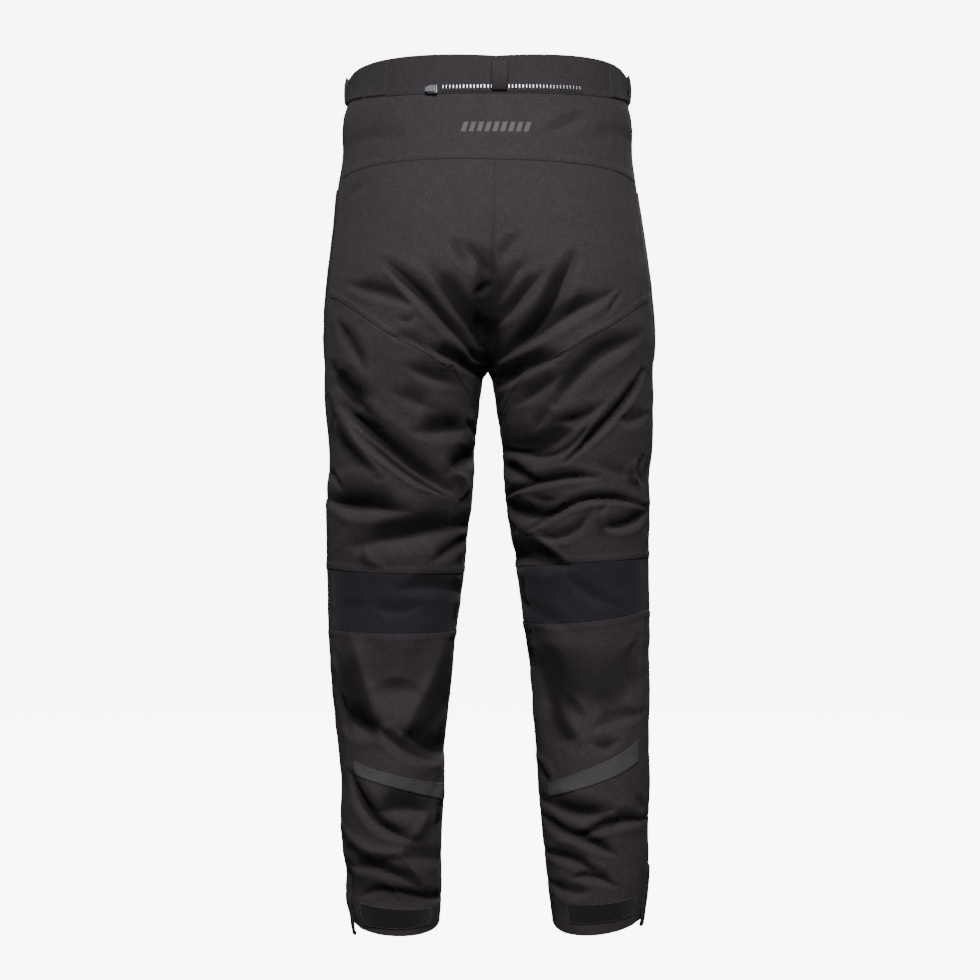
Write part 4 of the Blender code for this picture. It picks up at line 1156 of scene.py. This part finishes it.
def make_cuff_tabs(thread):
    made = {}
    for side, leg in LEGS:
        end = TAB_ENDS[side]
        drops = places(end - TAB_LENGTH, end, TAB_LENGTH, 0.0024, TRIM_EDGE)
        points, normals = strip_grid(side, TAB_ANGLE, TAB_WIDTH, drops)
        share = ((drops - drops[0]) / TAB_LENGTH)[:, None]
        wave = 0.0004 + 0.0011 * ease((share - 0.6) / 0.4) + 0.0002 * np.sin(share * 9.0) ** 2
        across = np.linspace(-1, 1, points.shape[1])[None, :]
        corner = 0.0045 * ease((share - 0.86) / 0.14) * across ** 2
        points = points - np.array([0, 0, -1]) * corner[..., None]
        height = wave + rounded(points, STRAP_WALL)
        piece = link(slab(f"tab_{leg}_cuff", points, normals, wave, height, side), FINISH["webbing"])
        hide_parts(f"cuff_tab_{leg}")
        box_stitch(thread, (points + normals * height[..., None], normals), 0.0024)
        made[side] = piece
    return made


def make_belt_loops(thread):
    """One loop at the centre back and one on each side, over the adjuster strap."""
    on_strap = OVERLAY_LIFT + STRAP_WALL + REST_GAP
    on_tape = OVERLAY_LIFT + ZIP_TAPE_WALL + 2 * REST_GAP
    loops = (
        ("back", RIGHT, 91.4, 0.0035, 0.0435, REST_GAP, on_tape, BACK_LOOP_RISE),
        ("left", LEFT, 181.0, 0.0065, 0.0400, on_strap, on_strap, SIDE_LOOP_RISE),
        ("right", RIGHT, 181.0, 0.0040, 0.0390, on_strap, on_strap, SIDE_LOOP_RISE),
    )
    made = []
    for place, side, angle, top, bottom, top_seat, bottom_seat, rise in loops:
        share = places(0, 1, bottom - top, 0.0011, TRIM_EDGE)
        grid = strip_grid(side, math.radians(angle), LOOP_WIDTH, top + (bottom - top) * share, 0.0015)
        arch = rise * np.sin(math.pi * share)[:, None] ** 0.6
        seat = (top_seat + (bottom_seat - top_seat) * share)[:, None]
        filled = 0.0 if place == "back" else SIDE_LOOP_FOLD
        low = np.broadcast_to(seat + (1 - filled) * arch, grid[0].shape[:2])
        height = low + rounded(grid[0], STRAP_WALL) + filled * arch
        piece = link(slab(f"loop_{place}", *grid, low, height, side), FINISH["band"])
        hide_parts(f"belt_loop_{place}")
        outer = (grid[0] + grid[1] * height[..., None], grid[1])
        box_stitch(thread, outer, 0.0018, ("top", "bottom"))
        box_stitch(thread, outer, 0.0034, ("top", "bottom"))
        made.append(piece)
    return made


def half_back(side, columns):
    """Shares across one half of the waistband's back from its column numbers."""
    return (columns - BACK_COLUMNS) * side / BACK_COLUMNS


def make_waist_trim(thread):
    """Side tabs and adjuster straps, and the front tab."""
    made = []
    for side, leg, tab_start, tab_end in ((LEFT, "left", 6.95, 9.1), (RIGHT, "right", 8.3, 10.1)):
        grid = lying(side, "back", (0.15, 3.4, 0.036, 0.0022),
                     (tab_start / BACK_COLUMNS, tab_end / BACK_COLUMNS, 0.030, 0.0022), on_band=True)
        piece, top = trim(f"tab_{leg}_waist", f"side_tab_{leg}", grid, STRAP_WALL, "tab", side)
        box_stitch(thread, top, 0.0024)
        made.append(piece)
        for face, first, last, columns, span in (("back", tab_end + 0.1, 11.9, BACK_COLUMNS, 0.040),
                                                 ("front", 0.1, 4.0, FRONT_COLUMNS, 0.085)):
            grid = lying(side, face, (0.25, 3.2, 0.033, 0.0022),
                         (first / columns, last / columns, span, 0.0007), on_band=True)
            gather = 0.00028 * np.sin(edge_distances(grid[0])["start"] * 2 * math.pi / 0.0033)
            piece, top = trim(f"strap_{face}_{leg}", f"adjuster_strap_{face}_{leg}", grid, STRAP_WALL,
                              "webbing", side, shape=gather)
            made.append(piece)
    grid = lying(LEFT, "front", (0.4, 3.3, 0.030, 0.003), (7.0 / FRONT_COLUMNS, 1.0, 0.045, 0.003),
                 on_band=True)
    piece, top = trim("tab_front", "front_tab", grid, STRAP_WALL, "cloth", LEFT)
    box_stitch(thread, top, 0.0024)
    made.append(piece)
    return made


# Radius and height along the outline of the press stud's cap
STUD_PROFILE = ((0.0, 0.0013), (0.0030, 0.0014), (0.0040, 0.0021), (0.0055, 0.0022), (0.0063, 0.0015),
                (0.0065, 0.0003))


def make_snap():
    """Press stud: a turned cap with a dished middle, on the front tab."""
    shares = np.array([7.9, 8.0, 8.1]) / FRONT_COLUMNS
    points, normals = cloth_grid(LEFT, "front", np.array([1.7, 1.8, 1.9]), shares, on_band=True)
    centre, out = Vector(points[1, 1]), Vector(normals[1, 1])
    mesh = bmesh.new()
    verts = [mesh.verts.new((radius, 0, height)) for radius, height in STUD_PROFILE]
    edges = [mesh.edges.new(pair) for pair in zip(verts, verts[1:])]
    bmesh.ops.spin(mesh, geom=verts + edges, axis=(0, 0, 1), cent=(0, 0, 0), angle=2 * math.pi,
                   steps=40, use_merge=True)
    bmesh.ops.remove_doubles(mesh, verts=mesh.verts, dist=1e-6)
    rim = [edge for edge in mesh.edges if edge.is_boundary]
    bmesh.ops.holes_fill(mesh, edges=rim)
    bmesh.ops.recalc_face_normals(mesh, faces=mesh.faces)
    turn = Vector((0, 0, 1)).rotation_difference(out).to_matrix().to_4x4()
    lift = OVERLAY_LIFT + STRAP_WALL + REST_GAP
    bmesh.ops.transform(mesh, verts=mesh.verts, matrix=Matrix.Translation(centre + out * lift) @ turn)
    data = mesh_data("stud_waist", mesh)
    data.shade_smooth()
    data.set_sharp_from_angle(angle=math.radians(50))
    piece = link(new_object("stud_waist", data), FINISH["metal"])
    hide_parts("waist_snap")
    return piece


# Columns of the back between which the zip lies, its tape's thickness, and its teeth: distance from
# one to the next, and their size along the tape, across it and outwards
ZIP_START, ZIP_END, ZIP_TAPE_WALL = 6.45, 15.2, 0.0010
TOOTH_PITCH, TOOTH_SIZE = 0.0042, (0.0020, 0.0054, 0.0016)


def make_zip(thread):
    """Tape and teeth of half a connecting zip; its slider and pull are the hard pieces."""
    def tape_half(side):
        stop = half_back(side, ZIP_START if side == RIGHT else ZIP_END)
        shares = np.linspace(0, stop, 44)
        rows = places(2.0, 3.0, 0.008, 0.0016, TRIM_EDGE)
        return cloth_grid(side, "back", rows, shares, on_band=True)

    tape, top = trim("tape_zip", "connecting_zip_tape", across_back(tape_half), ZIP_TAPE_WALL,
                     "webbing", LEFT)
    box_stitch(thread, top, 0.0062, ("top",))
    path, normals = border_path(*top, "top", 0.0024)
    centre, tangent, out = along_path(path, normals, TOOTH_PITCH, 0.0005)
    template = bmesh.new()
    bmesh.ops.create_cube(template, size=1.0)
    bmesh.ops.bevel(template, geom=list(template.edges), offset=0.16, segments=2, profile=0.5,
                    affect="EDGES", material=-1)
    up = np.cross(out, tangent)
    axes = np.stack([tangent * TOOTH_SIZE[0], up * TOOTH_SIZE[1], out * TOOTH_SIZE[2]], axis=1)
    teeth = tiled("teeth_zip", template, centre + out * 0.0007, axes, FINISH["metal"])
    return [tape, teeth]


# Printed bars: how many, where the first one starts, their pitch, width and slant, and their drops
BAR_COUNT, BAR_START, BAR_PITCH, BAR_WIDTH, BAR_SLANT = 9, 0.029, 0.0094, 0.0056, 0.0035
BAR_TOP, BAR_BOTTOM = 0.0815, 0.0935


def back_points(x, drops):
    """Points of the back at those places seen flat; each row of the arrays has one drop."""
    turn = np.linspace(math.radians(90), math.radians(150), 240)
    points = np.empty((*x.shape, 3))
    for row, drop in enumerate(drops):
        level = np.full_like(turn, drop)
        ring = np.concatenate([surface(RIGHT, turn, level)[::-1], surface(LEFT, turn, level)])
        points[row] = np.stack([x[row], np.interp(x[row], ring[:, 0], ring[:, 1]),
                                np.full_like(x[row], -drop)], axis=-1)
    return points


def make_print():
    """A plain row of slanted grey bars on the yoke."""
    made = []
    drops = np.linspace(BAR_TOP, BAR_BOTTOM, 7)
    lean = BAR_SLANT * (drops - BAR_TOP) / (BAR_BOTTOM - BAR_TOP)
    for number in range(BAR_COUNT):
        left = BAR_START - number * BAR_PITCH
        points = back_points(left - BAR_WIDTH * np.linspace(0, 1, 5) + lean[:, None], drops)
        normals = -np.cross(np.gradient(points, axis=1), np.gradient(points, axis=0))
        normals /= np.linalg.norm(normals, axis=-1, keepdims=True)
        name = f"bar_{number + 1}"
        made.append(link(slab(name, points, normals, 0.0001, 0.0003, RIGHT), FINISH["print"]))
    return made


def main():
    waist_thread = Stitching()
    band = make_waistband(waist_thread)
    yoke = make_yoke(waist_thread)
    panels = make_panels()
    trims = make_leg_trim(waist_thread)
    tabs = make_cuff_tabs(waist_thread)
    loops = make_belt_loops(waist_thread)
    waist = make_waist_trim(waist_thread)
    stud = make_snap()
    zip_pieces = make_zip(waist_thread)
    bars = make_print()
    waist_thread.make("topstitching_trim")
    for name in ("connecting_zip_slider", "connecting_zip_pull"):
        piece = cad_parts[name]
        piece.data.materials.clear()
        piece.data.materials.append(FINISH["metal"])


def area_light(name, place, aim, size, power):
    data = bpy.data.lights.new(name, "AREA")
    data.shape = "RECTANGLE"
    data.size, data.size_y = size
    data.energy = power
    made = bpy.data.objects.new(name, data)
    made.location = place
    made.rotation_euler = (Vector(aim) - Vector(place)).to_track_quat("-Z", "Y").to_euler()
    bpy.context.scene.collection.objects.link(made)


# Camera behind the trousers at the height of their middle, and the floor well below the cuffs
CAMERA_PLACE, CAMERA_LENS = (-0.0025, 2.9, -0.521), 85.2
FLOOR_LEVEL, FLOOR_SIZE = -1.13, 30.0

# Strength of the surroundings as seen, which render as near white, and as light
SEEN_WHITE, AMBIENT = 8.0, 0.03

# Lights: name, place, the point it is aimed at, width and height, and watts
LIGHTS = (
    ("key", (0.0, 2.5, 1.3), (0, 0.10, -0.45), (1.0, 0.6), 98),
    ("fill", (0.0, 3.2, -0.4), (0, 0, -0.7), (1.2, 1.2), 7),
    ("front_key", (-0.4, -2.4, 1.3), (0, -0.1, -0.35), (1.4, 1.0), 105),
    ("side_left", (2.4, -1.4, 0.7), (0, 0, -0.5), (1.0, 1.4), 12),
    ("side_right", (-2.4, -1.4, 0.7), (0, 0, -0.5), (1.0, 1.4), 12),
)


def set_stage():
    """Pale floor, soft studio lights, bright surroundings and the camera behind the trousers."""
    mesh = bmesh.new()
    bmesh.ops.create_grid(mesh, x_segments=1, y_segments=1, size=FLOOR_SIZE,
                          matrix=Matrix.Translation((0, 0, FLOOR_LEVEL)))
    data = mesh_data("floor", mesh)
    floor = new_object("floor", data)
    made = bpy.data.materials.new("pale_floor")
    made.use_nodes = True
    shader = made.node_tree.nodes["Principled BSDF"]
    shader.inputs["Base Color"].default_value = (0.9, 0.9, 0.9, 1)
    shader.inputs["Roughness"].default_value = 0.9
    shader.inputs["Emission Color"].default_value = (1, 1, 1, 1)
    shader.inputs["Emission Strength"].default_value = SEEN_WHITE
    data.materials.append(made)
    floor.visible_diffuse = False
    floor.visible_glossy = False

    world = bpy.data.worlds.new("studio")
    bpy.context.scene.world = world
    world.use_nodes = True
    tree = world.node_tree
    for item in list(tree.nodes):
        tree.nodes.remove(item)
    seen = node(tree, "ShaderNodeLightPath").outputs["Is Camera Ray"]
    ambient = node(tree, "ShaderNodeBackground", Color=(1, 1, 1, 1), Strength=AMBIENT)
    bright = node(tree, "ShaderNodeBackground", Color=(1, 1, 1, 1), Strength=SEEN_WHITE)
    mixed = node(tree, "ShaderNodeMixShader")
    out = node(tree, "ShaderNodeOutputWorld")
    tree.links.new(seen, mixed.inputs[0])
    tree.links.new(ambient.outputs[0], mixed.inputs[1])
    tree.links.new(bright.outputs[0], mixed.inputs[2])
    tree.links.new(mixed.outputs[0], out.inputs[0])

    for light in LIGHTS:
        area_light(*light)

    camera = bpy.data.objects.new("camera", bpy.data.cameras.new("camera"))
    camera.data.lens = CAMERA_LENS
    camera.data.sensor_width = 36.0
    camera.location = CAMERA_PLACE
    camera.rotation_euler = (math.radians(90), 0, math.radians(180))
    bpy.context.scene.collection.objects.link(camera)
    bpy.context.scene.camera = camera


main()
set_stage()
